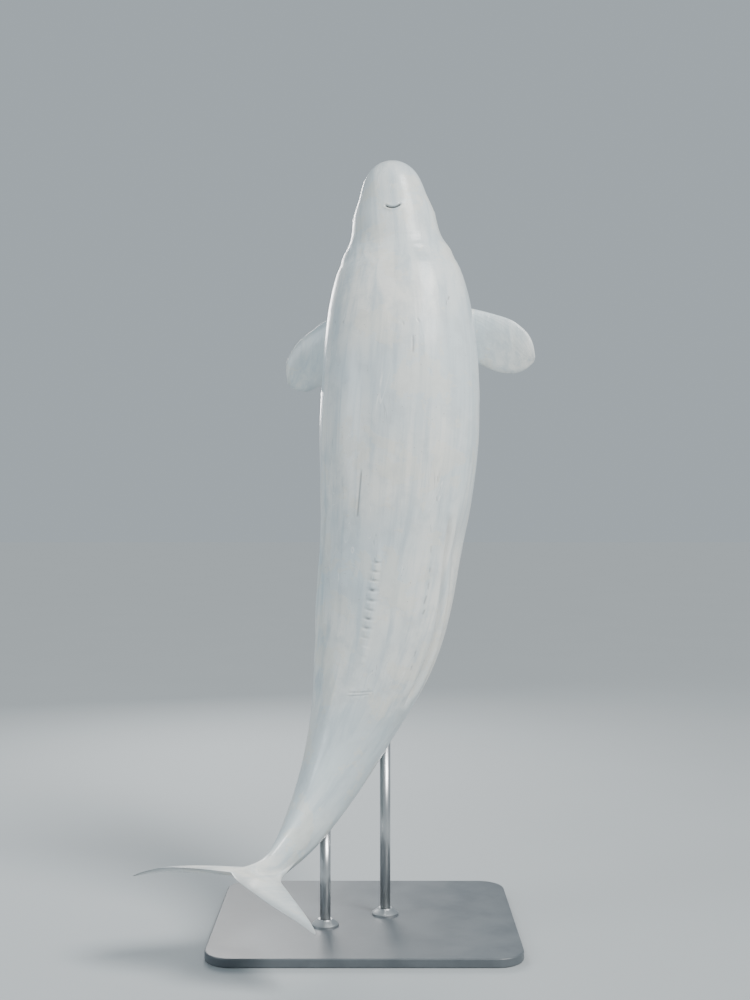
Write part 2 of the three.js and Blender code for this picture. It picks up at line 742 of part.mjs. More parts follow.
// Stand
add("stand_base", solid(plateGeometry()), plate);
for (const [name, foot] of Object.entries(RODS)) {
  const top = rodTop(foot);
  add(`stand_rod_${name}`, largest(solid(rodGeometry(top)).subtract(around)), steel);
  add(`stand_collar_${name}`, solid(collarGeometry(top)), steel);
}

export default whale;
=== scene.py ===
import bisect
import functools
import math

import bmesh
import bpy
from mathutils import Matrix, Quaternion, Vector, noise


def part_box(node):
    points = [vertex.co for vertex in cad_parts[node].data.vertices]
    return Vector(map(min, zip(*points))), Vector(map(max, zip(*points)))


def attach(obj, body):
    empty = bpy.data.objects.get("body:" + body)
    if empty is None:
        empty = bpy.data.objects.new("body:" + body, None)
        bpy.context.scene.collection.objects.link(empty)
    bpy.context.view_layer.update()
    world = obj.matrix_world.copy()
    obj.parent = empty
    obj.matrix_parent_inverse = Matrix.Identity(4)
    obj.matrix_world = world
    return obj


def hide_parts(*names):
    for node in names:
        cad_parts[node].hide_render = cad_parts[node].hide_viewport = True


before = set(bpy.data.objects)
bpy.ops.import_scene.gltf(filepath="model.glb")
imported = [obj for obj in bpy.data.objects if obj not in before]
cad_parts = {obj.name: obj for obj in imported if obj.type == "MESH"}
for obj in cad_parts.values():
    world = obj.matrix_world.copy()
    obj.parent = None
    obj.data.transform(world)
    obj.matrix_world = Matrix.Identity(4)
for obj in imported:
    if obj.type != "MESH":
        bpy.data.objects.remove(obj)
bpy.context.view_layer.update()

# The backbone carries every section of the whale. It hangs upright with its back to the viewer, bends
# its head a little to the belly side, and flexes its tail to the back until the flukes lie level.
# Places run along it from the tip of the beak, in metres.
LENGTH = 4.310
SHOULDER = 0.850
SHOULDER_AT = Vector((0.180, 0.060, 3.144))
SPINE_STEP = 0.010
SPINE_END = 4.500
BENDS = [  # place, turn of the right side to the viewer, lean of the tail to the left, flex to the back
    (0.000, 0.0, -4.0, 17.0),
    (0.560, 0.0, -4.0, 13.0),
    (0.900, 4.0, -1.0, 4.0),
    (1.500, 8.0, 2.0, 0.0),
    (2.100, 11.0, 6.5, 1.0),
    (2.500, 12.0, 10.0, 3.0),
    (2.700, 13.0, 15.5, 6.0),
    (3.000, 15.0, 17.0, 12.0),
    (3.400, 19.0, 18.5, 31.0),
    (3.700, 22.0, 21.0, 50.0),
    (3.850, 22.5, 20.0, 64.0),
    (4.000, 22.5, 13.0, 102.0),
    (4.510, 22.5, 13.0, 102.0),
]


def lerp(a, b, share):
    return a + (b - a) * share


def clamp(x, low=0.0, high=1.0):
    return max(low, min(high, x))


def smooth_curve(stations, column):
    """A smooth line through one column of the stations, with no overshoot between them."""
    x = [s[0] for s in stations]
    y = [s[column] for s in stations]
    rise = [(y[i + 1] - y[i]) / (x[i + 1] - x[i]) for i in range(len(x) - 1)]
    slope = [rise[0]]
    for i in range(1, len(x) - 1):
        before, after = rise[i - 1], rise[i]
        a, b = x[i] - x[i - 1], x[i + 1] - x[i]
        even = before * after <= 0
        slope.append(0.0 if even else 3 * (a + b) / ((2 * b + a) / before + (b + 2 * a) / after))
    slope.append(rise[-1])

    def at(place):
        i = clamp(bisect.bisect_right(x, place) - 1, 0, len(x) - 2)
        width = x[i + 1] - x[i]
        s = clamp((place - x[i]) / width)
        t = 1 - s
        held = y[i] * (1 + 2 * s) * t * t + y[i + 1] * (3 - 2 * s) * s * s
        return held + width * (slope[i] * s * t * t - slope[i + 1] * s * s * t)

    return at


turn, lean, flex = (smooth_curve(BENDS, column) for column in (1, 2, 3))


@functools.lru_cache(maxsize=None)
def axes_at(at):
    """Directions to the right flipper, to the back and to the tail."""
    q = (
        Quaternion((0, 1, 0), math.radians(lean(at)))
        @ Quaternion((0, 0, 1), -math.radians(turn(at)))
        @ Quaternion((1, 0, 0), -math.radians(flex(at)))
    )
    return q @ Vector((1, 0, 0)), q @ Vector((0, -1, 0)), q @ Vector((0, 0, -1))


spine = [Vector()]
for i in range(round(SPINE_END / SPINE_STEP)):
    spine.append(spine[-1] + axes_at((i + 0.5) * SPINE_STEP)[2] * SPINE_STEP)
shift = SHOULDER_AT - spine[round(SHOULDER / SPINE_STEP)]
spine = [p + shift for p in spine]


@functools.lru_cache(maxsize=None)
def centre_at(at):
    i = int(clamp(at / SPINE_STEP, 0, len(spine) - 2))
    return spine[i].lerp(spine[i + 1], at / SPINE_STEP - i)


def place(side, up, at):
    """Where a point of the straightened whale is on the bent one."""
    right, back, _ = axes_at(at)
    return centre_at(at) + right * side + back * up


def unbend(point):
    """The straightened whale's side, up and place of a point near the bent one's trunk."""
    at = SHOULDER
    for _ in range(8):
        at += (point - centre_at(at)).dot(axes_at(at)[2])
    right, back, _ = axes_at(at)
    off = point - centre_at(at)
    return Vector((off.dot(right), off.dot(back), at))


# The form of the head and trunk. A beluga's head is a round, soft melon over a short, broad beak, its
# neck is free and creased, and the trunk is as thick as it is wide, with keels along the tail stock.
HEAD_CENTRE = 0.260
HEAD_END = 0.700
STOCK_END = 3.500
FLUKE_ROOT = 3.940
OVAL_EASE = 0.800  # length over which rings become ovals with even columns
TRUNK = [  # place, half width, height to the back and to the belly, roundness of the section
    (0.260, 0.110, 0.120, 0.040, 2.00),
    (0.420, 0.204, 0.222, 0.128, 2.00),
    (0.560, 0.292, 0.266, 0.216, 2.05),
    (0.700, 0.340, 0.312, 0.296, 2.10),
    (0.850, 0.372, 0.350, 0.360, 2.10),
    (1.100, 0.400, 0.384, 0.414, 2.10),
    (1.450, 0.412, 0.400, 0.436, 2.10),
    (1.800, 0.390, 0.386, 0.420, 2.10),
    (2.100, 0.360, 0.360, 0.386, 2.10),
    (2.400, 0.342, 0.338, 0.352, 2.05),
    (2.700, 0.292, 0.304, 0.308, 2.00),
    (3.000, 0.220, 0.262, 0.256, 1.90),
    (3.300, 0.158, 0.214, 0.204, 1.80),
    (3.600, 0.102, 0.158, 0.142, 1.70),
    (3.800, 0.062, 0.114, 0.098, 1.70),
    (3.940, 0.050, 0.082, 0.066, 1.70),
]
trunk_side = smooth_curve(TRUNK, 1)
trunk_back = smooth_curve(TRUNK, 2)
trunk_belly = smooth_curve(TRUNK, 3)
trunk_edge = smooth_curve(TRUNK, 4)

# Egg-shaped forms of the head: place, height above the spine, and half length, width and height
UPPER_JAW = (0.190, 0.010, 0.190, 0.118, 0.058)
LOWER_JAW = (0.200, -0.036, 0.186, 0.106, 0.054)
MELON = (0.246, 0.122, 0.172, 0.158, 0.156)
SKULL = (0.410, 0.058, 0.250, 0.212, 0.212)
LIP_BLEND = 0.014
MELON_CREASE = 0.024
CHEEK_BLEND = 0.070
NECK_BLEND = 0.060
NECK_CREASE = dict(at=0.585, slant=0.040, wide=0.030, deep=0.005)


def smooth_max(a, b, blend):
    near = max(blend - abs(a - b), 0)
    return max(a, b) + near * near / (4 * blend)


def bump(x, wide):
    return math.exp(-((x / wide) ** 2))


def exit_of(form, at, forward, side, up):
    """How far a line from the spine runs before it leaves one of the head's forms."""
    form_at, form_up, long, wide, tall = form
    a = (forward / long) ** 2 + (side / wide) ** 2 + (up / tall) ** 2
    ahead = form_at - at
    b = forward * ahead / long**2 - up * form_up / tall**2
    c = (ahead / long) ** 2 + (form_up / tall) ** 2 - 1
    inside = b * b - a * c
    return -1.0 if inside <= 0 else (-b + math.sqrt(inside)) / a


def head_radius(at, forward, side, up):
    """The forms of the head as one: two jaws, the skull behind them and the melon above."""
    if at > HEAD_END:
        return -1.0
    upper = exit_of(UPPER_JAW, at, forward, side, up)
    lower = exit_of(LOWER_JAW, at, forward, side, up)
    jaw = smooth_max(upper, lower, LIP_BLEND)
    skull = exit_of(SKULL, at, forward, side, up)
    dome = smooth_max(exit_of(MELON, at, forward, side, up), skull, CHEEK_BLEND)
    return smooth_max(dome, smooth_max(jaw, skull, CHEEK_BLEND / 2), MELON_CREASE)


def trunk_radius(at, aim):
    """How far the skin lies from the spine, in a direction round it."""
    side, up = math.cos(aim), math.sin(aim)
    edge = trunk_edge(at)
    tall = trunk_back(at) if up > 0 else trunk_belly(at)
    oval = (abs(side) / trunk_side(at)) ** edge + (abs(up) / tall) ** edge
    whole = smooth_max(oval ** (-1 / edge), head_radius(at, 0, side, up), NECK_BLEND)
    off = at - NECK_CREASE["at"] - NECK_CREASE["slant"] * up
    return whole - NECK_CREASE["deep"] * bump(off, NECK_CREASE["wide"])


def face_form(share, angle):
    """Straightened surface point, and the direction in which the skin may rise there."""
    tip = math.pi / 2 * share
    out = Vector((math.sin(tip) * math.cos(angle), math.sin(tip) * math.sin(angle), -math.cos(tip)))
    reach = head_radius(HEAD_CENTRE, -out.z, out.x, out.y)
    return Vector((0, 0, HEAD_CENTRE)) + out * reach, out


def trunk_form(at, angle):
    """The same for a ring of the trunk. Behind the head its columns spread as an oval's do."""
    tall = trunk_back(at) if math.sin(angle) > 0 else trunk_belly(at)
    oval = math.atan2(tall * math.sin(angle), trunk_side(at) * math.cos(angle))
    apart = math.atan2(math.sin(oval - angle), math.cos(oval - angle))
    aim = angle + apart * clamp((at - HEAD_END) / OVAL_EASE)
    reach = trunk_radius(at, aim)
    out = Vector((math.cos(aim), math.sin(aim), 0))
    return Vector((out.x * reach, out.y * reach, at)), out


# The flukes are two flat, boneless blades that grow out of the end of the stock, thick in front and
# thin behind, with a notch between their rounded rear edges. Here they droop, and the left tip curls.
LEADING_EDGE = [  # place, half span
    (3.640, 0.092),
    (3.780, 0.068),
    (3.860, 0.070),
    (3.905, 0.084),
    (3.940, 0.112),
    (3.990, 0.176),
    (4.060, 0.264),
    (4.130, 0.342),
    (4.200, 0.408),
    (4.255, 0.450),
    (4.285, 0.465),
]
BLADE_START = 3.820
STOCK_LAST = 3.760  # where the blade is as wide as the stock
FLUKE_HALF = 0.465
FLUKE_TIP = 4.299
FLUKE_NOTCH = 0.046
NOTCH_HALF = 0.046
FLUKE_LOBE = 0.044
FLUKE_THICK = 0.050
FLUKE_TIP_THICK = 0.012
FLUKE_RIM = 0.0025
FLUKE_DROOP = 0.122
DROOP_CURVE = 1.15  # 1 is straight, more bends the tip down
LEFT_TIP_CURL = 0.045
CURL_CURVE = 5
EVEN_HALF = 0.130  # half width beyond which columns crowd to the tips
CORE_HALF = 0.040  # the stock's end between the blades
CORE_FADE = 1.6
ROOT_FILLET = 0.025
STOCK_BLEND = 0.7  # rings over which the oval stock turns into the blade
edge_half = smooth_curve(LEADING_EDGE, 1)


def edge_side(at):
    return max(edge_half(at), trunk_side(at) if at < STOCK_LAST else 0)


@functools.lru_cache(maxsize=None)
def leading_edge(x):
    """The place of the front edge at a distance from the middle."""
    low, high = BLADE_START, LEADING_EDGE[-1][0]
    for _ in range(20):
        at = (low + high) / 2
        if edge_half(at) < x:
            low = at
        else:
            high = at
    return low


def trailing_edge(x):
    """The place of the rear edge, with a rounded lobe on each side of the notch."""
    out = min(abs(x) / FLUKE_HALF, 1)
    lobe = FLUKE_LOBE * max(math.sin(math.pi * min(out * 1.25, 1)), 0) ** 0.8
    notch = FLUKE_NOTCH * bump(x, NOTCH_HALF)
    return lerp(LENGTH + FLUKE_NOTCH, FLUKE_TIP, out**2) + lobe - notch


def foil(c):
    """Half thickness of a smooth foil at a share of its chord."""
    return 5 * (0.2969 * math.sqrt(c) - 0.126 * c - 0.3516 * c**2 + 0.2843 * c**3 - 0.1036 * c**4)


@functools.lru_cache(maxsize=None)
def half_span(where):
    """Half the width of a ring of the tail, where it meets the front edge of the blade."""
    share, stock_at = max(where - 1, 0), lerp(STOCK_END, FLUKE_ROOT, min(where, 1))
    half = edge_side(stock_at)
    if share > 0:
        high = FLUKE_HALF
        for _ in range(20):
            x = (half + high) / 2
            if edge_half(lerp(stock_at, trailing_edge(x), share)) > x:
                half = x
            else:
                high = x
    return half


def tail_form(where, angle):
    """A point of the stock's end (0 to 1) or the flukes (1 to 2), and the way it may rise."""
    share, stock_at = max(where - 1, 0), lerp(STOCK_END, FLUKE_ROOT, min(where, 1))
    half = half_span(where)
    c, up = math.cos(angle), math.sin(angle)
    centred = clamp(EVEN_HALF / half, 0.3, 1)
    x = half * c * (centred + (1 - centred) * c * c)
    at = lerp(stock_at, trailing_edge(x), share)
    out = min(abs(x) / FLUKE_HALF, 1)
    front = leading_edge(round(abs(x), 5))
    chord = clamp((at - front) / (trailing_edge(x) - front))
    blade = lerp(FLUKE_THICK, FLUKE_TIP_THICK, out**0.8) * foil(chord)
    edge = trunk_edge(stock_at)
    tall = (trunk_back if up > 0 else trunk_belly)(stock_at) * (1 - share) ** CORE_FADE
    across = abs(x) / lerp(trunk_side(stock_at), CORE_HALF, share)
    keel = tall * (1 - across**edge) ** (1 / edge) if across < 1 else 0
    rim = FLUKE_RIM * math.sqrt(max(1 - share**12, 0))
    thick = smooth_max(blade + rim, keel, 0.001 + ROOT_FILLET * (1 - share))
    closed = math.sqrt(min(1, (1 - abs(c)) * 12)) if share < 1 else 0
    curl = LEFT_TIP_CURL * out**CURL_CURVE if x < 0 else 0
    droop = FLUKE_DROOP * out**DROOP_CURVE + curl
    face = 1 if up > 0 else -1
    away = Vector((0, face * clamp(1.5 - 1.5 * out), 0))
    return Vector((x, face * thick * closed - droop, at)), away


def skin_form(ring, angle):
    """A point of the whole skin, and the way it may rise. Rings are counted from the beak over the
    head's centre (1), the end of the stock (2) and the flukes' root (3) to their rear edge (4)."""
    if ring <= 1:
        return face_form(ring, angle)
    if ring <= 2:
        return trunk_form(lerp(HEAD_CENTRE, STOCK_END, ring - 1), angle)
    q, out = tail_form(ring - 2, angle)
    if ring < 2 + STOCK_BLEND:
        share = (ring - 2) / STOCK_BLEND
        oval, away = trunk_form(lerp(STOCK_END, FLUKE_ROOT, ring - 2), angle)
        share = share * share * (3 - 2 * share)
        return oval.lerp(q, share), away.lerp(out, share)
    return q, out


# Creases, slits and pores of the skin: the mouth's line between its lips, the crescent of the blowhole,
# lids, ear pores, navel, vent, folds of the neck and flanks, and the nicked ridge that stands for a fin.
# Each of these carries painted shade: its groove, pore or slit is darkened in the skin's colour.
MOUTH = dict(reach=80, rise=40, front=-3.4, corner=10, curve=1.6, steps=48)
BLOWHOLE = dict(at=0.398, bow=0.016, half=0.038, left=0.008, steps=16)
EYE = dict(at=0.338, up=0.044, radius=0.020, sunk=0.012, wide=0.0172, tall=0.0122)
EAR = dict(at=0.462, up=0.020, radius=0.0035, deep=0.005, lip=0.0015, lip_at=0.009, lip_wide=0.005)
RIDGE = dict(start=2.110, end=2.650, side=0.021, tall=0.011, knobs=12, nicked=2.580, sway=0.004)
LID = dict(reach=0.085, slant=0.10, edge=1.75, proud=0.0018, socket=-0.016)
LID_FOLDS = [  # distance from the opening in shares of it, height, half width
    (0.85, 0.0014, 0.26),
    (0.52, -0.0026, 0.16),
    (1.35, -0.0018, 0.25),
    (2.10, -0.0011, 0.35),
]
# A hollow above the right fold, wrinkles of the neck, and long soft folds of fat under the skin
HOLLOW = dict(at=2.020, long=0.150, aim=12, wide=17, deep=0.018)
WRINKLE = dict(at=0.610, long=0.075, close=190, deep=0.0022)
FAT_FOLD = 0.0045
FAT_RIPPLE = 0.0020
CREASE_REACH = 4  # half widths from its line to a crease's end
STEPS_TO_MARK = 5


def on_skin(at, side=None, up=1, degrees=None):
    """A straightened point on the trunk: over the back or belly at a distance from the middle, or at
    an angle from the right side."""
    if degrees is not None:
        aim = math.radians(degrees)
    else:
        aim = math.pi / 2 * up
        for _ in range(6):
            aim = math.acos(clamp(side / trunk_radius(at, aim), -1, 1)) * up
    reach = trunk_radius(at, aim)
    return Vector((math.cos(aim) * reach, math.sin(aim) * reach, at))


def mouth_line():
    """The line between the lips, from corner to corner round the beak. It turns up at its corners."""
    points = []
    for i in range(MOUTH["steps"] + 1):
        bearing = lerp(-MOUTH["reach"], MOUTH["reach"], i / MOUTH["steps"])
        curl = clamp((abs(bearing) - MOUTH["rise"]) / (MOUTH["reach"] - MOUTH["rise"]))
        tilt = math.radians(lerp(MOUTH["front"], MOUTH["corner"], curl ** MOUTH["curve"]))
        b = math.radians(bearing)
        out = Vector((math.sin(b) * math.cos(tilt), math.sin(tilt), -math.cos(b) * math.cos(tilt)))
        points.append(Vector((0, 0, HEAD_CENTRE)) + out * head_radius(HEAD_CENTRE, -out.z, out.x, out.y))
    return points


def blowhole_line():
    points = []
    for i in range(BLOWHOLE["steps"] + 1):
        u = 2 * i / BLOWHOLE["steps"] - 1
        at = BLOWHOLE["at"] - BLOWHOLE["bow"] * u * u
        points.append(on_skin(at, BLOWHOLE["half"] * u - BLOWHOLE["left"]))
    return points


def line_on_skin(marks):
    """A smooth run of points through marks given as (place, degrees round from the right side)."""
    at = smooth_curve([(i, m[0]) for i, m in enumerate(marks)], 1)
    aim = smooth_curve([(i, m[1]) for i, m in enumerate(marks)], 1)
    spots = [i / STEPS_TO_MARK for i in range(STEPS_TO_MARK * (len(marks) - 1) + 1)]
    return [on_skin(at(u), degrees=aim(u)) for u in spots]


CREASES = [  # name, line, half width, depth, lip height, painted shade in the groove
    ("mouth", mouth_line(), 0.0050, 0.0120, 0.0030, 1.0),
    ("blowhole", blowhole_line(), 0.0060, 0.0140, 0.0035, 1.0),
    ("navel", line_on_skin([(1.985, -90), (2.040, -90)]), 0.0070, 0.0080, 0.0020, 0.5),
    ("slit", line_on_skin([(2.730, -90), (2.930, -90)]), 0.0060, 0.0110, 0.0030, 0.8),
    ("vent", line_on_skin([(2.985, -90), (3.020, -90)]), 0.0070, 0.0110, 0.0040, 0.8),
    ("throat", line_on_skin([(0.500, -30), (0.470, -60), (0.462, -90), (0.470, -120), (0.500, -150)]),
     0.0120, 0.0042, 0.0020, 0.05),
    ("chin", line_on_skin([(0.430, -45), (0.412, -90), (0.430, -135)]), 0.0100, 0.0024, 0.0012, 0.03),
]

# Folds of fat lie along both flanks. Old scratches and nicks are short grooved lines along the body: a slit
# beside the ridge, a dash behind the neck, a row on the right flank and a pale pair across the stock. Their
# grooves carry painted shade, and the nicks partly their own dark marks. The small ones are placed by where
# they are seen from behind the back, across and down in pixels.
CAMERA_AT = Vector((0.051, -6.630, 2.180))
LENS = 46.5
FILM = 36
VIEW_WIDE = 750
VIEW_TALL = 1000
SLIT = [(361, 471), (359, 494), (357, 517)]
DASH = [(413, 335), (413, 352)]
NICKS = [  # across, down, length in metres
    (449, 298, 0.016), (447, 303, 0.020), (403, 323, 0.016), (418, 320, 0.014),
    (343, 322, 0.018), (335, 322, 0.014), (438, 479, 0.030), (437, 499, 0.022),
    (431, 549, 0.030), (430, 570, 0.020), (428.5, 586, 0.034), (425.5, 600, 0.040),
    (424, 612, 0.022), (415, 654, 0.030), (411.5, 668, 0.022),
]


def seen(across, down):
    """Place and degrees round of the back's skin that is seen at a pixel."""
    focus = VIEW_TALL * LENS / FILM
    ray = Vector((across - VIEW_WIDE / 2, focus, VIEW_TALL / 2 - down)) / focus
    near, far = 5.6, 6.6
    for _ in range(24):
        middle = (near + far) / 2
        q = unbend(CAMERA_AT + ray * middle)
        if math.hypot(q.x, q.y) > trunk_radius(q.z, math.atan2(q.y, q.x)):
            near = middle
        else:
            far = middle
    return q.z, math.degrees(math.atan2(q.y, q.x))


FOLDS = [  # marks on the right flank, half width, depth, lip height, painted shade in the groove
    ([(1.900, 34), (2.000, 31), (2.150, 28.5), (2.350, 24), (2.560, 21), (2.800, 22)],
     0.0250, 0.0190, 0.0070, 0.26),
    ([(1.500, -38), (1.750, -34), (2.050, -30), (2.350, -28), (2.600, -30)],
     0.0260, 0.0070, 0.0030, 0.04),
    ([(1.020, 6), (1.100, 2), (1.200, 1), (1.300, 4)],
     0.0200, 0.0050, 0.0020, 0.03),
]
for marks, *form in FOLDS:
    CREASES.append(("fold", line_on_skin(marks), *form))
for marks, *form in FOLDS:
    CREASES.append(("fold", line_on_skin([(at, 180 - aim) for at, aim in marks]), *form))
CREASES += [
    ("slit", line_on_skin([seen(*spot) for spot in SLIT]), 0.0065, 0.0030, 0.0012, 0.55),
    ("dash", line_on_skin([seen(*spot) for spot in DASH]), 0.0065, 0.0016, 0.0006, 0.45),
    ("scar", line_on_skin([(2.845, 92), (2.825, 81), (2.800, 70)]), 0.0050, 0.0020, 0.0016, 0.25),
    ("scar", line_on_skin([(2.862, 91), (2.842, 81), (2.818, 72)]), 0.0045, 0.0016, 0.0014, 0.15),
]
# The nicks' darkness is painted shade in their grooves, in part also their own dark marks.
NICK_HALF = 0.0058
NICK_DEEP = 0.0018
NICK_LIP = 0.0008
NICK_DARK = 0.42
for across, down, long in NICKS:
    at, aim = seen(across, down)
    odd = noise.noise(Vector((at * 90, aim, 0.5)))
    ends = [(at - long / 2, aim - 1.6 * odd), (at, aim + 0.3 * odd), (at + long / 2, aim + 1.8 * odd)]
    half = NICK_HALF + 0.0022 * odd
    CREASES.append(("nick", line_on_skin(ends), half, NICK_DEEP, NICK_LIP, NICK_DARK + 0.3 * odd))


class Crease:
    """A line on the straightened skin with a box round it, so that far points are passed over quickly."""

    def __init__(self, name, line, half, deep, lip, shade_and_marks):
        self.name = name
        self.line = line
        self.half = half
        self.deep = deep
        self.lip = lip
        self.shade_and_marks = shade_and_marks
        self.lengths = [0.0]
        for a, b in zip(line, line[1:]):
            self.lengths.append(self.lengths[-1] + (b - a).length)
        room = Vector((CREASE_REACH * half,) * 3)
        self.low = Vector(map(min, *line)) - room
        self.high = Vector(map(max, *line)) + room

    def near(self, q):
        return all(lo <= v <= hi for lo, v, hi in zip(self.low, q, self.high))

    def distance(self, q):
        """How far a point is from the line, and the share of the line's length at which it is nearest."""
        best, share = 1e9, 0.0
        for i, (a, b) in enumerate(zip(self.line, self.line[1:])):
            edge = b - a
            t = clamp((q - a).dot(edge) / edge.length_squared)
            gap = (q - a - edge * t).length
            if gap < best:
                best = gap
                share = (self.lengths[i] + edge.length * t) / self.lengths[-1]
        return best, share


creases = [Crease(*c) for c in CREASES]
eye_seats = {}
reach = 0.210
for _ in range(7):
    aim = math.asin(EYE["up"] / reach)
    reach = trunk_radius(EYE["at"], aim)
for sign in (-1, 1):
    eye_seats[sign] = Vector((sign * reach * math.cos(aim), EYE["up"], EYE["at"]))


def lid_relief(q, seat):
    """Height of the lids round one eye, and the painted shade on their rim and in the socket. The ball
    shows between them.
    """
    a, b = q.z - seat.z, q.y - seat.y
    if math.hypot(a, b) > LID["reach"] or q.x * seat.x < 0:
        return 0.0, 0.0
    b += LID["slant"] * a
    edge = LID["edge"]
    open_eye = ((abs(a) / EYE["wide"]) ** edge + (abs(b) / EYE["tall"]) ** edge) ** (1 / edge)
    under = max(EYE["radius"] ** 2 - (a * a + b * b) / max(open_eye, 1) ** 2, 0)
    rim = math.sqrt(under) - EYE["sunk"] + LID["proud"]
    if open_eye < 1:
        return lerp(rim, LID["socket"], clamp((1 - open_eye) * 2.2)), 1.0
    wave = 0.35 * noise.noise(Vector((a * 60, b * 60, seat.x * 9)))
    gap = open_eye - 1 + wave * clamp(open_eye - 1.3)
    bearing = math.atan2(b, a)
    lids = abs(math.sin(bearing))
    fold = sum(high * bump(gap - away, wide) for away, high, wide in LID_FOLDS)
    rays = 0.0007 * math.sin(9 * bearing + 4 * gap) * bump(gap - 1.6, 0.8) * (1 - lids)
    shade = clamp(0.32 - gap) * 2.6
    return rim * math.exp(-gap * 0.95) + fold * (0.30 + 0.70 * lids) + rays, clamp(shade)


def ridge_relief(q):
    """Height of the ridge on the back, a row of uneven knobs, and the painted shade in the cuts between
    them.
    """
    share = (q.z - RIDGE["start"]) / (RIDGE["end"] - RIDGE["start"])
    if not -0.2 < share < 1.3 or q.y < 0 or abs(q.x) > 0.08:
        return 0.0, 0.0
    swell = clamp(math.sin(math.pi * clamp((share + 0.15) / 1.4)) * 1.5)
    knob = share * (RIDGE["knobs"] - 1)
    which = round(knob)
    odd = noise.noise(Vector((which * 3.7, 1.3, 0)))
    here = abs(knob - which - 0.16 * odd)
    crest = math.exp(-((abs(q.x - RIDGE["sway"] * odd) / RIDGE["side"]) ** 2.2))
    ends = clamp((RIDGE["nicked"] - q.z) * 9) * clamp((q.z - RIDGE["start"] + 0.010) * 25)
    cut = clamp((here - 0.22) * 4) ** 2 * ends
    slot = clamp(noise.noise(Vector((math.floor(knob) * 5.1, 7.7, 0))) + 0.75)
    shade_and_marks = cut**2 * slot * bump(q.x - 1.5 * RIDGE["sway"] * odd, 0.0085 + 0.004 * slot) * 0.95
    return crest * swell * RIDGE["tall"] * ((0.82 + 0.18 * odd) - 0.46 * cut), shade_and_marks


def relief(q):
    """How far the skin stands up from its form at a straightened point, and the painted shade there, from
    creases, pores, lids and cuts, partly the nicks' own marks.
    """
    height, shade_and_marks = 0.0, 0.0
    for crease in creases:
        if crease.near(q):
            gap, share = crease.distance(q)
            ends = clamp(min(share, 1 - share) * 12 + 0.12) ** 0.6
            d = gap / crease.half
            if d < CREASE_REACH:
                height -= crease.deep * ends * clamp(1 - d) ** 1.4
                height += crease.lip * ends * bump(d - 1.9, 0.9)
                shade_and_marks = max(shade_and_marks, crease.shade_and_marks * ends * clamp(1.15 - d))
    if 0.22 < q.z < 0.50:
        for sign, seat in eye_seats.items():
            up, shade = lid_relief(q, seat)
            height, shade_and_marks = height + up, max(shade_and_marks, shade)
        if q.x and abs(q.z - EAR["at"]) < 0.03 and abs(q.y - EAR["up"]) < 0.03:
            gap = math.hypot(q.z - EAR["at"], q.y - EAR["up"])
            pore = bump(gap, EAR["radius"])
            height += EAR["lip"] * bump(gap - EAR["lip_at"], EAR["lip_wide"]) - EAR["deep"] * pore
            shade_and_marks = max(shade_and_marks, pore)
    up, shade = ridge_relief(q)
    height, shade_and_marks = height + up, max(shade_and_marks, shade)
    bearing = math.degrees(math.atan2(q.y, q.x)) - HOLLOW["aim"]
    height -= HOLLOW["deep"] * bump(q.z - HOLLOW["at"], HOLLOW["long"]) * bump(bearing, HOLLOW["wide"])
    soft = clamp((q.z - 0.6) / 0.5) * clamp((3.9 - q.z) / 0.5)
    height -= soft * FAT_FOLD * clamp(0.25 + noise.noise(Vector((q.x * 4.2, q.y * 4.2, q.z * 0.9))))
    height -= soft * FAT_RIPPLE * clamp(0.2 + noise.noise(Vector((q.x * 14, q.y * 14, q.z * 3))))
    ring = bump(q.z - WRINKLE["at"], WRINKLE["long"])
    ring *= 0.5 + noise.noise(Vector((q.x * 4, q.y * 4, 2.0)))
    wave = math.sin(q.z * WRINKLE["close"] + 3 * noise.noise(q * 6))
    height -= WRINKLE["deep"] * ring * (0.5 + 0.5 * wave)
    return height, shade_and_marks


# A beluga's skin is one hide without a seam, tight over a hand's breadth of blubber, from the beak over
# the trunk to the flukes' rear edge. It is laid out flat in rows, one to each ring from the beak to the
# flukes, made finer where there are slits and lids, and bent round the whale's form.
AROUND = 168
BEAK_ROWS, BEAK_SHARE = 24, 0.14
FACE_ROWS = 42
TRUNK_ROWS = [(HEAD_CENTRE, 0.560, 0.0072), (0.560, 0.800, 0.010), (0.800, STOCK_END, 0.020)]  # step
STOCK_ROWS = 30
FLUKE_ROWS, FLUKE_ROW_CURVE = 40, 1.1
FINE = dict(mouth=2, blowhole=2, navel=2, slit=2, vent=2, nick=2, dash=2, scar=2, fold=1)
EYE_FINE = [(0.032, 3), (0.060, 2), (0.085, 1)]  # distance from the eye, times divided again
RIM_START = 3.62

rows = [BEAK_SHARE * i / BEAK_ROWS for i in range(BEAK_ROWS)]
rows += [BEAK_SHARE + (1 - BEAK_SHARE) * i / FACE_ROWS for i in range(FACE_ROWS)]
for start, end, step in TRUNK_ROWS:
    count = round((end - start) / step)
    for i in range(count):
        row_at = start + (end - start) * i / count
        rows.append(1 + (row_at - HEAD_CENTRE) / (STOCK_END - HEAD_CENTRE))
rows += [2 + i / STOCK_ROWS for i in range(STOCK_ROWS)]
rows += [3 + (i / FLUKE_ROWS) ** FLUKE_ROW_CURVE for i in range(FLUKE_ROWS + 1)]

skin_mesh = bmesh.new()
bmesh.ops.create_grid(skin_mesh, x_segments=AROUND, y_segments=len(rows) - 1, size=1)
for v in skin_mesh.verts:
    row = rows[round((v.co.y + 1) / 2 * (len(rows) - 1))]
    v.co = Vector(((v.co.x + 1) / 2, row, 0))


def ring_angle(x):
    """Columns start under the belly, so that the skin's seam is not on show."""
    return math.tau * x - math.pi / 2


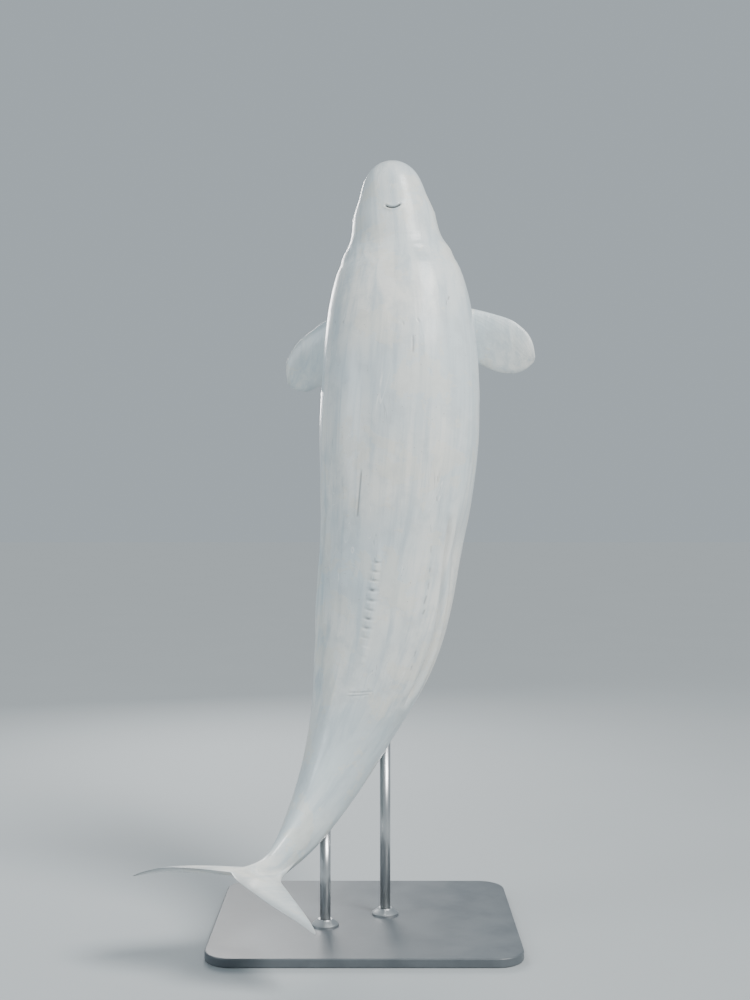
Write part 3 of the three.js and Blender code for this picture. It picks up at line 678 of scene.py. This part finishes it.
def fineness(q):
    """How many times the skin is divided again at a straightened point."""
    for crease in creases:
        if crease.name in FINE and crease.near(q):
            gap, _ = crease.distance(q)
            if gap < 2.4 * crease.half:
                return FINE[crease.name]
    for seat in eye_seats.values():
        for away, times in EYE_FINE:
            if (q - seat).length < away:
                return times
    if abs(q.z - EAR["at"]) < 0.02 and abs(q.y - EAR["up"]) < 0.02:
        return 2
    if RIDGE["start"] - 0.05 < q.z < RIDGE["end"] + 0.05 and q.y > 0 and abs(q.x) < 0.045:
        return 2
    return 0


for level in (1, 2, 3):
    chosen = set()
    for face in skin_mesh.faces:
        middle = face.calc_center_median()
        if 0.3 < middle.y < 2 and fineness(skin_form(middle.y, ring_angle(middle.x))[0]) >= level:
            chosen.update(face.edges)
    bmesh.ops.subdivide_edges(skin_mesh, edges=list(chosen), cuts=1, use_grid_fill=True)

lie = skin_mesh.verts.layers.float_vector.new("lie")
shade_and_marks_layer = skin_mesh.verts.layers.float.new("shade_and_marks")
rim_layer = skin_mesh.verts.layers.float.new("rim")
for v in skin_mesh.verts:
    ring, angle = v.co.y, ring_angle(v.co.x)
    q, out = skin_form(ring, angle)
    height, shade_and_marks = relief(q)
    q = q + out * height
    v.co = place(*q)
    v[lie] = q
    # This value is painted shade in creases, slits, pores, lid rims and ridge cuts, and in part the nicks'
    # own dark marks.
    v[shade_and_marks_layer] = shade_and_marks
    if ring > 3:
        v[rim_layer] = clamp((ring - RIM_START) / (4 - RIM_START)) ** 1.5 * clamp(abs(q.x) * 9)
bmesh.ops.remove_doubles(skin_mesh, verts=skin_mesh.verts, dist=2e-5)


# A flipper is a short, broad paddle, thick in front, with a round tip that turns up. It grows out of
# the flank low down, in a soft hollow of skin, so its rows run down into the body's own skin.
FLIPPER_AT = 0.900
FLIPPER_SIDE = 0.285
FLIPPER_BELLY = 0.178
FLIPPERS = [(-1, 31, 24), (1, 17, 6)]  # left or right, degrees back to the tail, degrees to the belly
FLIPPER_SPAN = 0.446
FLIPPER_PITCH = 12
FLIPPER_THICK = 0.062
FLIPPER_TIP_THICK = 0.016
FLIPPER_RIM = 0.0025
FLIPPER_ROUND = 0.86
FLIPPER_CURL = 0.034
FLIPPER_RAKE = 0.038
FLIPPER_CHORD = [  # share of the span, half chord
    (0.00, 0.122),
    (0.30, 0.134),
    (0.58, 0.142),
    (0.80, 0.118),
    (0.93, 0.074),
    (1.00, 0.022),
]
FLIPPER_COLUMNS = 64
FLIPPER_ROWS = 44
FILLET_ROWS = 9
FILLET = 0.042
WINDOW_LONG = 1.07
WINDOW_WIDE = 1.09
flipper_half = smooth_curve(FLIPPER_CHORD, 1)


def flipper_axes(sign, sweep, fall):
    """Directions along a flipper's span, across it to the tail, and out of its upper face."""
    right, back, tail = axes_at(FLIPPER_AT)
    span = right * sign * math.cos(math.radians(sweep)) + tail * math.sin(math.radians(sweep))
    span = (span - back * math.sin(math.radians(fall))).normalized()
    flat = (tail - span * tail.dot(span)).normalized()
    face = (back - span * back.dot(span)).normalized()
    tilt = math.radians(FLIPPER_PITCH)
    chord = flat * math.cos(tilt) - face * math.sin(tilt)
    return span, chord, face * math.cos(tilt) + flat * math.sin(tilt)


def flipper_skin(sign, sweep, fall):
    """A paddle open at its foot, with a fillet that runs out on the flank, and the fillet's foot."""
    span, chord, normal = flipper_axes(sign, sweep, fall)
    root = place(sign * FLIPPER_SIDE, -FLIPPER_BELLY, FLIPPER_AT)

    def point(share, angle):
        c = (1 - math.cos(angle)) / 2
        thick = lerp(FLIPPER_THICK, FLIPPER_TIP_THICK, share**0.7) * foil(c)
        thick += FLIPPER_RIM * abs(math.sin(angle))
        ease = math.sqrt(1 - clamp((share - FLIPPER_ROUND) / (1 - FLIPPER_ROUND)) ** 2)
        along = (2 * c - 1) * flipper_half(share) * (0.04 + 0.96 * ease**0.35) + FLIPPER_RAKE * share**2
        lift = math.copysign(thick * ease, math.sin(angle)) + FLIPPER_CURL * share**3
        return root + span * FLIPPER_SPAN * share + chord * along + normal * lift

    def height(p):
        """How far a point is outside the flank."""
        q = unbend(p)
        return math.hypot(q.x, q.y) - trunk_radius(q.z, math.atan2(q.y, q.x))

    def settle(p):
        """The nearest point of the body's skin, bent and straightened."""
        q = unbend(p)
        aim = math.atan2(q.y, q.x)
        reach = trunk_radius(q.z, aim)
        q = Vector((math.cos(aim) * reach, math.sin(aim) * reach, q.z))
        q += Vector((math.cos(aim), math.sin(aim), 0)) * relief(q)[0]
        return place(*q), q

    def share_at(angle, wanted):
        """The share of the span at which a line of the paddle is this far outside the flank."""
        low, high = 0.0, 0.75
        for _ in range(18):
            middle = (low + high) / 2
            if height(point(middle, angle)) < wanted:
                low = middle
            else:
                high = middle
        return low

    bm = bmesh.new()
    total = FILLET_ROWS + FLIPPER_ROWS
    bmesh.ops.create_grid(bm, x_segments=FLIPPER_COLUMNS, y_segments=total, size=1)
    lie_here = bm.verts.layers.float_vector.new("lie")
    bm.verts.layers.float.new("shade_and_marks")
    rim_here = bm.verts.layers.float.new("rim")
    foot_of = {}
    for v in bm.verts:
        column = round((v.co.x + 1) / 2 * FLIPPER_COLUMNS)
        row = round((v.co.y + 1) / 2 * total)
        column %= FLIPPER_COLUMNS
        angle = math.tau * column / FLIPPER_COLUMNS
        if column not in foot_of:
            leave, meet = share_at(angle, FILLET), share_at(angle, 0)
            corner = point(meet, angle)
            slim = FLIPPER_THICK / 2
            fat = flipper_half(meet)
            outward = (chord * -math.cos(angle) * slim + normal * math.sin(angle) * fat).normalized()
            foot, foot_q = settle(corner + outward * FILLET)
            foot_of[column] = (leave, corner, foot, foot_q)
        leave, corner, foot, foot_q = foot_of[column]
        if row < FILLET_ROWS:
            t = row / FILLET_ROWS
            v.co = foot * (1 - t) ** 2 + corner * 2 * t * (1 - t) + point(leave, angle) * t * t
            share = 0
        else:
            t = (row - FILLET_ROWS) / FLIPPER_ROWS
            share = lerp(leave, 1, lerp(t, math.sin(math.pi / 2 * t), 0.8))
            v.co = point(share, angle)
        v[lie_here] = foot_q + (v.co - foot)
        back_edge = clamp((1 - math.cos(angle)) / 2 * 5 - 4)
        v[rim_here] = max(back_edge * clamp(share * 2), clamp((share - 0.80) * 5) ** 2) * 0.55
    feet = [foot_of[k][3] for k in range(FLIPPER_COLUMNS)]
    bmesh.ops.remove_doubles(bm, verts=bm.verts, dist=2e-5)
    tip = [e for e in bm.edges if e.is_boundary and all(height(x.co) > 0.1 for x in e.verts)]
    if tip:
        bmesh.ops.holes_fill(bm, edges=tip, sides=0)
    return bm, feet


def inside_outline(outline, x, y):
    """Whether a point is inside a closed outline, by the edges that a line from it crosses."""
    hit = False
    for (ax, ay), (bx, by) in zip(outline, outline[1:] + outline[:1]):
        if (ay > y) != (by > y) and x < (bx - ax) * (y - ay) / (by - ay) + ax:
            hit = not hit
    return hit


def graft(bm, sign, sweep, fall):
    """Opens a window in the body's skin, lays the flipper in, and joins the two edges."""
    paddle, feet = flipper_skin(sign, sweep, fall)
    aims = [(q.z, math.atan2(q.y, q.x * sign)) for q in feet]
    mid_at = sum(a for a, _ in aims) / len(aims)
    mid_aim = sum(b for _, b in aims) / len(aims)
    opening = []
    for a, b in aims:
        opening.append((mid_at + (a - mid_at) * WINDOW_LONG, mid_aim + (b - mid_aim) * WINDOW_WIDE))

    def covered(face):
        for v in face.verts:
            q = v[lie]
            near = q.x * sign > 0 and abs(q.z - mid_at) < FLIPPER_SPAN
            if near and inside_outline(opening, q.z, math.atan2(q.y, q.x * sign)):
                return True
        return False

    bmesh.ops.delete(bm, geom=[f for f in bm.faces if covered(f)], context="FACES")
    window = [e for e in bm.edges if e.is_boundary and e.verts[0][lie].x * sign > 0]
    rest = bpy.data.meshes.new("paddle")
    paddle.to_mesh(rest)
    paddle.free()
    before = set(bm.edges)
    bm.from_mesh(rest)
    bpy.data.meshes.remove(rest)
    loop = [e for e in bm.edges if e not in before and e.is_boundary]
    bmesh.ops.bridge_loops(bm, edges=window + loop)


for sign, sweep, fall in FLIPPERS:
    graft(skin_mesh, sign, sweep, fall)
bmesh.ops.recalc_face_normals(skin_mesh, faces=skin_mesh.faces)
for face in skin_mesh.faces:
    face.smooth = True


def piece_from(name, bm):
    mesh = bpy.data.meshes.new(name)
    bm.to_mesh(mesh)
    bm.free()
    piece = bpy.data.objects.new(name, mesh)
    bpy.context.scene.collection.objects.link(piece)
    return piece


skin = piece_from("skin", skin_mesh)
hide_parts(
    "head", "neck", "chest", "belly", "tail_stock",
    "fluke_left", "fluke_right", "flipper_left", "flipper_right",
)
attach(skin, "root")


# Wet beluga hide is ivory white, smooth and thick. It carries faint lengthwise streaks, pale scratches,
# patches of old skin and a few dark pits, and greys towards the thin rear edges of flukes and flippers.
COOL_WHITE = (0.600, 0.675, 0.700, 1)
IVORY = (0.800, 0.800, 0.755, 1)
STREAK_GREY = (0.450, 0.535, 0.580, 1)
MOTTLE_GREY = (0.490, 0.545, 0.565, 1)
OLD_SKIN = (0.760, 0.715, 0.600, 1)
PALE_SCRATCH = (0.900, 0.905, 0.885, 1)
DARK_SCRATCH = (0.310, 0.340, 0.355, 1)
PIT_GREY = (0.300, 0.310, 0.310, 1)
RIM_GREY = (0.270, 0.300, 0.320, 1)
# Painted shade: the near-black of creases, slits, pores, lid rims and ridge cuts.
CREASE_SHADE_GREY = (0.075, 0.080, 0.088, 1)


class Shade:
    """An output of a node, so that masks can be written as plain sums."""

    def __init__(self, paint, socket):
        self.paint, self.socket = paint, socket

    def sum(self, operation, first, second):
        return self.paint.node("ShaderNodeMath", {"operation": operation}, [first, second])

    def __add__(self, other):
        return self.sum("ADD", self, other)

    def __mul__(self, other):
        return self.sum("MULTIPLY", self, other)

    def __sub__(self, other):
        return self.sum("SUBTRACT", self, other)

    def __rsub__(self, other):
        return self.sum("SUBTRACT", other, self)

    __radd__ = __add__
    __rmul__ = __mul__


class Paint:
    """A material and the nodes that feed its shader."""

    def __init__(self, name, **finish):
        self.material = bpy.data.materials.new(name)
        self.material.use_nodes = True
        self.tree = self.material.node_tree
        self.shader = self.tree.nodes["Principled BSDF"]
        for socket, value in finish.items():
            self.shader.inputs[socket.replace("_", " ")].default_value = value

    def feed(self, socket, value):
        if isinstance(value, Shade):
            self.tree.links.new(value.socket, socket)
        else:
            socket.default_value = value

    def node(self, kind, settings=(), inputs=(), output=0):
        made = self.tree.nodes.new(kind)
        for name, value in dict(settings).items():
            setattr(made, name, value)
        pairs = inputs.items() if isinstance(inputs, dict) else enumerate(inputs)
        for key, value in pairs:
            self.feed(made.inputs[key], value)
        return Shade(self, made.outputs[output])

    def wear(self, **sockets):
        """Links what changes over the surface to the shader."""
        for socket, value in sockets.items():
            self.feed(self.shader.inputs[socket.replace("_", " ")], value)

    def here(self):
        return self.node("ShaderNodeTexCoord", output="Object")

    def painted(self, attribute, output="Fac"):
        return self.node("ShaderNodeAttribute", {"attribute_name": attribute}, output=output)

    def stretched(self, vector, x, y, z):
        return self.node("ShaderNodeVectorMath", {"operation": "MULTIPLY"}, [vector, (x, y, z)])

    def cloud(self, vector, scale, detail=2.0, rough=0.5, warp=0.0):
        sizes = {"Vector": vector, "Scale": scale, "Detail": detail, "Roughness": rough, "Distortion": warp}
        return self.node("ShaderNodeTexNoise", inputs=sizes)

    def window(self, value, low, high):
        """0 below low, 1 above high, smooth between."""
        sizes = {"Value": value, "From Min": low, "From Max": high, "To Min": 0.0, "To Max": 1.0}
        return self.node("ShaderNodeMapRange", {"interpolation_type": "SMOOTHSTEP"}, sizes)

    def tint(self, share, first, second):
        """The first colour where the share is 0, the second where it is 1."""
        made = self.tree.nodes.new("ShaderNodeMix")
        made.data_type = "RGBA"
        self.feed(made.inputs["Factor"], share)
        self.feed(made.inputs[6], first)
        self.feed(made.inputs[7], second)
        return Shade(self, made.outputs[2])

    def bumped(self, height, distance, strength=1.0, over=None):
        sizes = {"Height": height, "Distance": distance, "Strength": strength}
        if over is not None:
            sizes["Normal"] = over
        return self.node("ShaderNodeBump", inputs=sizes)


hide = Paint("hide", Coat_Weight=0.28, Coat_Roughness=0.14, IOR=1.42)
where = hide.here()
along = hide.painted("lie", "Vector")
from_beak = hide.node("ShaderNodeSeparateXYZ", inputs=[along], output=2)
shade_and_marks = hide.painted("shade_and_marks")
rim = hide.painted("rim")
broad = hide.cloud(where, 1.5, 3.0, 0.5)
mottle = hide.cloud(where, 9.0, 5.0, 0.62)
fine = hide.cloud(where, 110.0, 3.0, 0.6)
streaks = hide.cloud(hide.stretched(along, 17.0, 17.0, 0.9), 1.0, 5.0, 0.6, 0.4)
old_skin = hide.window(hide.cloud(where, 4.2, 8.0, 0.68, 0.3), 0.535, 0.560)
scratch_patch = hide.window(hide.cloud(where, 2.6, 2.0), 0.47, 0.60)


def scratches(slant, x, y, wide):
    """Fine broken lines that run along the body, a little aslant."""
    aslant = {"Vector": along, "Rotation": slant}
    turned = hide.node("ShaderNodeVectorRotate", {"rotation_type": "EULER_XYZ"}, aslant)
    field = hide.cloud(hide.stretched(turned, x, y, 0.20), 1.0, 1.0, 0.4, 0.05)
    off = hide.node("ShaderNodeMath", {"operation": "ABSOLUTE"}, [field - 0.5])
    breaks = hide.window(hide.cloud(hide.stretched(turned, 9.0, 9.0, 5.0), 1.0, 2.0), 0.50, 0.58)
    return (1 - hide.window(off, wide / 4, wide)) * breaks * scratch_patch


pale_lines = scratches((0.10, 0.16, 0.0), 22.0, 26.0, 0.012)
dark_lines = scratches((-0.05, -0.11, 0.0), 33.0, 29.0, 0.009)
pits = hide.node("ShaderNodeTexVoronoi", inputs={"Vector": where, "Scale": 24.0})
pits = (1 - hide.window(pits, 0.045, 0.085)) * hide.window(hide.cloud(where, 2.0, 1.0), 0.50, 0.56)
wrinkles = hide.cloud(hide.stretched(along, 7.0, 7.0, 85.0), 1.0, 2.0, 0.5, 0.3)
neck = hide.window(from_beak, 0.42, 0.60) * (1 - hide.window(from_beak, 0.72, 0.98))

colour = hide.tint(hide.window(broad, 0.35, 0.65), COOL_WHITE, IVORY)
colour = hide.tint(hide.window(streaks, 0.42, 0.70) * 0.70, colour, STREAK_GREY)
colour = hide.tint(hide.window(mottle, 0.47, 0.70) * 0.48, colour, MOTTLE_GREY)
colour = hide.tint(old_skin * 0.30, colour, OLD_SKIN)
colour = hide.tint(pale_lines * 0.55, colour, PALE_SCRATCH)
colour = hide.tint(dark_lines * 0.34, colour, DARK_SCRATCH)
colour = hide.tint(pits * 0.55, colour, PIT_GREY)
colour = hide.tint(hide.window(rim, 0.05, 1.0) * 0.75, colour, RIM_GREY)
# Painted shade: grooves, pores, lid rims and ridge cuts are darkened towards near-black, with the nicks
# partly their own marks.
colour = hide.tint(shade_and_marks * 0.88, colour, CREASE_SHADE_GREY)
creased = hide.bumped(wrinkles * neck, 0.0030, 0.55)
worn = dark_lines * -1.0 - pits * 0.8 + old_skin * 0.4
lined = hide.bumped(worn, 0.0007, 0.8, creased)
broken = hide.bumped(mottle + streaks * 1.3, 0.0030, 0.60, lined)
hide.wear(
    Base_Color=colour,
    Roughness=0.28 + mottle * 0.14 + old_skin * 0.12,
    Normal=hide.bumped(fine, 0.0007, 0.50, broken),
)
skin.data.materials.append(hide.material)


# The eye is small and dark brown behind a wet cornea, a whole ball set deep between thick lids on the
# side of the head, just behind the corner of the mouth.
EYE_STEP = 0.008
BROWN = (0.055, 0.030, 0.016, 1)
DARK_BROWN = (0.022, 0.014, 0.010, 1)
PUPIL_BLACK = (0.003, 0.003, 0.004, 1)
RING_GREY = (0.030, 0.030, 0.032, 1)
PUPIL_EDGE = (0.085, 0.100)
IRIS_EDGE = (0.210, 0.260)

iris = Paint("iris", Coat_Weight=1.0, Coat_Roughness=0.03, Roughness=0.25)
aside = iris.painted("gaze")
speckle = iris.cloud(iris.here(), 420.0, 3.0)
iris_colour = iris.tint(speckle, BROWN, DARK_BROWN)
iris_colour = iris.tint(iris.window(aside, *PUPIL_EDGE), PUPIL_BLACK, iris_colour)
iris_colour = iris.tint(iris.window(aside, *IRIS_EDGE), iris_colour, RING_GREY)
iris.wear(Base_Color=iris_colour)


def eye_ball(name, sign):
    """A ball at its solid's place, which looks straight out of the skin round it."""
    seat = eye_seats[sign]
    bearing = math.degrees(math.atan2(EYE["up"], abs(seat.x)))
    higher = math.degrees(math.atan2(EYE["up"] + EYE_STEP, abs(seat.x)))
    along_head = on_skin(EYE["at"] + EYE_STEP, degrees=bearing)
    over = on_skin(EYE["at"], degrees=higher)
    mirror = Vector((sign, 1, 1))
    out = (over * mirror - seat).cross(along_head * mirror - seat).normalized()
    if out.x * sign < 0:
        out = -out
    right, back, tail = axes_at(EYE["at"])
    gaze = (right * out.x + back * out.y + tail * out.z).normalized()
    low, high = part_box(name)
    centre = (Vector(low) + Vector(high)) / 2
    bm = bmesh.new()
    bmesh.ops.create_uvsphere(bm, u_segments=40, v_segments=28, radius=EYE["radius"])
    gaze_layer = bm.verts.layers.float.new("gaze")
    for v in bm.verts:
        v[gaze_layer] = v.co.normalized().angle(Vector((0, 0, 1))) / math.pi
    turned = Matrix.Translation(centre) @ gaze.to_track_quat("Z", "Y").to_matrix().to_4x4()
    bmesh.ops.transform(bm, matrix=turned, verts=bm.verts)
    for face in bm.faces:
        face.smooth = True
    ball = piece_from(name + "_ball", bm)
    ball.data.materials.append(iris.material)
    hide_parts(name)
    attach(ball, "root")


eye_ball("eye_left", -1)
eye_ball("eye_right", 1)


# The stand's base is a thick steel plate with rounded corners and a fine chamfer, painted slate grey
# with a faint orange-peel to the paint.
BASE = (1.520, 1.240, 0.045)
BASE_CORNER = 0.137
BASE_CHAMFER = 0.007
SLATE = (0.075, 0.088, 0.100, 1)
SLATE_WORN = (0.105, 0.120, 0.132, 1)

bm = bmesh.new()
bmesh.ops.create_cube(bm, size=1)
bmesh.ops.scale(bm, vec=BASE, verts=bm.verts)
bmesh.ops.translate(bm, vec=(0, 0, BASE[2] / 2), verts=bm.verts)
uprights = [e for e in bm.edges if abs(e.verts[0].co.z - e.verts[1].co.z) > 0.01]
bmesh.ops.bevel(
    bm, geom=uprights, offset=BASE_CORNER, segments=20, profile=0.5, affect="EDGES", material=-1
)
brinks = [e for e in bm.edges if abs(e.verts[0].co.z - e.verts[1].co.z) < 1e-6 and len(e.link_faces) == 2]
brinks = [e for e in brinks if abs(e.link_faces[0].normal.z) + abs(e.link_faces[1].normal.z) > 0.5]
bmesh.ops.bevel(
    bm, geom=brinks, offset=BASE_CHAMFER, segments=4, profile=0.5, affect="EDGES", material=-1
)
base = piece_from("base_plate", bm)
slate = Paint("slate_paint", Coat_Weight=0.15, Coat_Roughness=0.2)
peel = slate.cloud(slate.here(), 260.0, 2.0)
dust = slate.cloud(slate.here(), 5.0, 4.0, 0.6)
slate.wear(
    Base_Color=slate.tint(slate.window(dust, 0.3, 0.7), SLATE, SLATE_WORN),
    Roughness=0.34 + dust * 0.2,
    Normal=slate.bumped(peel, 0.0004, 0.5),
)
base.data.materials.append(slate.material)
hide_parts("stand_base")
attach(base, "root")


# Two round steel rods stand in collars on the base and run up into the whale, one at the vent and one
# under the tail stock. They are turned bright and brushed along, and the collars are turned rings.
ROD_RADIUS = 0.027
COLLAR_PROFILE = [  # radius, height
    (0.0272, 0.000),
    (0.0680, 0.000),
    (0.0680, 0.010),
    (0.0600, 0.016),
    (0.0390, 0.030),
    (0.0350, 0.034),
    (0.0272, 0.034),
]
STEEL = (0.50, 0.52, 0.53, 1)
STEEL_BRIGHT = (0.62, 0.63, 0.64, 1)

steel = Paint("brushed_rod", Metallic=1.0)
grain = steel.cloud(steel.stretched(steel.here(), 900.0, 900.0, 6.0), 1.0, 3.0)
smear = steel.cloud(steel.here(), 7.0, 3.0)
steel.wear(
    Base_Color=steel.tint(smear, STEEL, STEEL_BRIGHT),
    Roughness=0.24 + grain * 0.16,
    Normal=steel.bumped(grain, 0.0002, 0.4),
)
for name in ("long", "short"):
    low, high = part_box("stand_rod_" + name)
    x, y = (low[0] + high[0]) / 2, (low[1] + high[1]) / 2
    tall = high[2] - low[2]
    bm = bmesh.new()
    bmesh.ops.create_cone(
        bm, cap_ends=True, segments=64, radius1=ROD_RADIUS, radius2=ROD_RADIUS, depth=tall
    )
    bmesh.ops.translate(bm, vec=(x, y, (low[2] + high[2]) / 2), verts=bm.verts)
    for face in bm.faces:
        face.smooth = abs(face.normal.z) < 0.5
    rod = piece_from("rod_" + name, bm)
    rod.data.materials.append(steel.material)
    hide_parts("stand_rod_" + name)
    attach(rod, "root")

    low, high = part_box("stand_collar_" + name)
    bm = bmesh.new()
    ring = [bm.verts.new((r, 0, z)) for r, z in COLLAR_PROFILE]
    edges = [bm.edges.new(pair) for pair in zip(ring, ring[1:] + ring[:1])]
    bmesh.ops.spin(
        bm, geom=ring + edges, cent=(0, 0, 0), axis=(0, 0, 1), angle=math.tau, steps=72, use_merge=True
    )
    bmesh.ops.remove_doubles(bm, verts=bm.verts, dist=1e-5)
    bmesh.ops.recalc_face_normals(bm, faces=bm.faces)
    bmesh.ops.translate(bm, vec=(x, y, low[2]), verts=bm.verts)
    collar = piece_from("collar_" + name, bm)
    collar.data.materials.append(steel.material)
    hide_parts("stand_collar_" + name)
    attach(collar, "root")


# The room: a wide, plain pale floor under an even sky, one broad sun over the viewer's right shoulder,
# and large soft lamps that draw the wet skin's highlights and lift the shaded side.
FLOOR_HALF = 60
FLOOR_GREY = (0.355, 0.382, 0.396, 1)
FLOOR_PALE = (0.375, 0.402, 0.416, 1)
SKY = (0.425, 0.485, 0.525, 1)
SKY_STRENGTH = 0.95
LAMPS = [  # name, kind, place, aim, degrees or metres across, power, colour
    ("sun", "SUN", (4.2, -3.6, 7.0), (0.0, 0.0, 1.0), 22, 3.0, (1.0, 0.985, 0.955)),
    ("key", "AREA", (3.4, -3.8, 5.6), (0.1, 0.0, 2.4), 2.6, 240, (1.0, 0.98, 0.95)),
    ("side", "AREA", (-5.0, -2.2, 3.2), (0.0, 0.0, 2.0), 2.4, 110, (0.86, 0.94, 1.0)),
    ("belly", "AREA", (-1.6, 6.0, 4.4), (0.1, 0.0, 2.0), 3.0, 330, (1.0, 0.98, 0.96)),
]

bm = bmesh.new()
bmesh.ops.create_grid(bm, x_segments=2, y_segments=2, size=FLOOR_HALF)
floor = piece_from("floor", bm)
pale = Paint("pale_floor", Roughness=0.8)
pale.wear(Base_Color=pale.tint(pale.cloud(pale.here(), 0.8, 3.0), FLOOR_GREY, FLOOR_PALE))
floor.data.materials.append(pale.material)

world = bpy.data.worlds.new("sky")
bpy.context.scene.world = world
world.use_nodes = True
world.node_tree.nodes["Background"].inputs["Color"].default_value = SKY
world.node_tree.nodes["Background"].inputs["Strength"].default_value = SKY_STRENGTH
for name, kind, stands, aim, across, power, tone in LAMPS:
    lamp = bpy.data.lights.new(name, kind)
    if kind == "SUN":
        lamp.angle = math.radians(across)
    else:
        lamp.shape = "DISK"
        lamp.size = across
    lamp.energy = power
    lamp.color = tone
    light = bpy.data.objects.new(name, lamp)
    light.location = stands
    light.rotation_mode = "QUATERNION"
    light.rotation_quaternion = (Vector(aim) - Vector(stands)).to_track_quat("-Z", "Y")
    bpy.context.scene.collection.objects.link(light)

# The view is level and from behind, about half way up, and frames the whole whale with room above it.
camera_data = bpy.data.cameras.new("camera")
camera_data.sensor_width = FILM
camera_data.lens = LENS
camera = bpy.data.objects.new("camera", camera_data)
camera.location = CAMERA_AT
camera.rotation_euler = (math.radians(90), 0, 0)
bpy.context.scene.collection.objects.link(camera)
bpy.context.scene.camera = camera
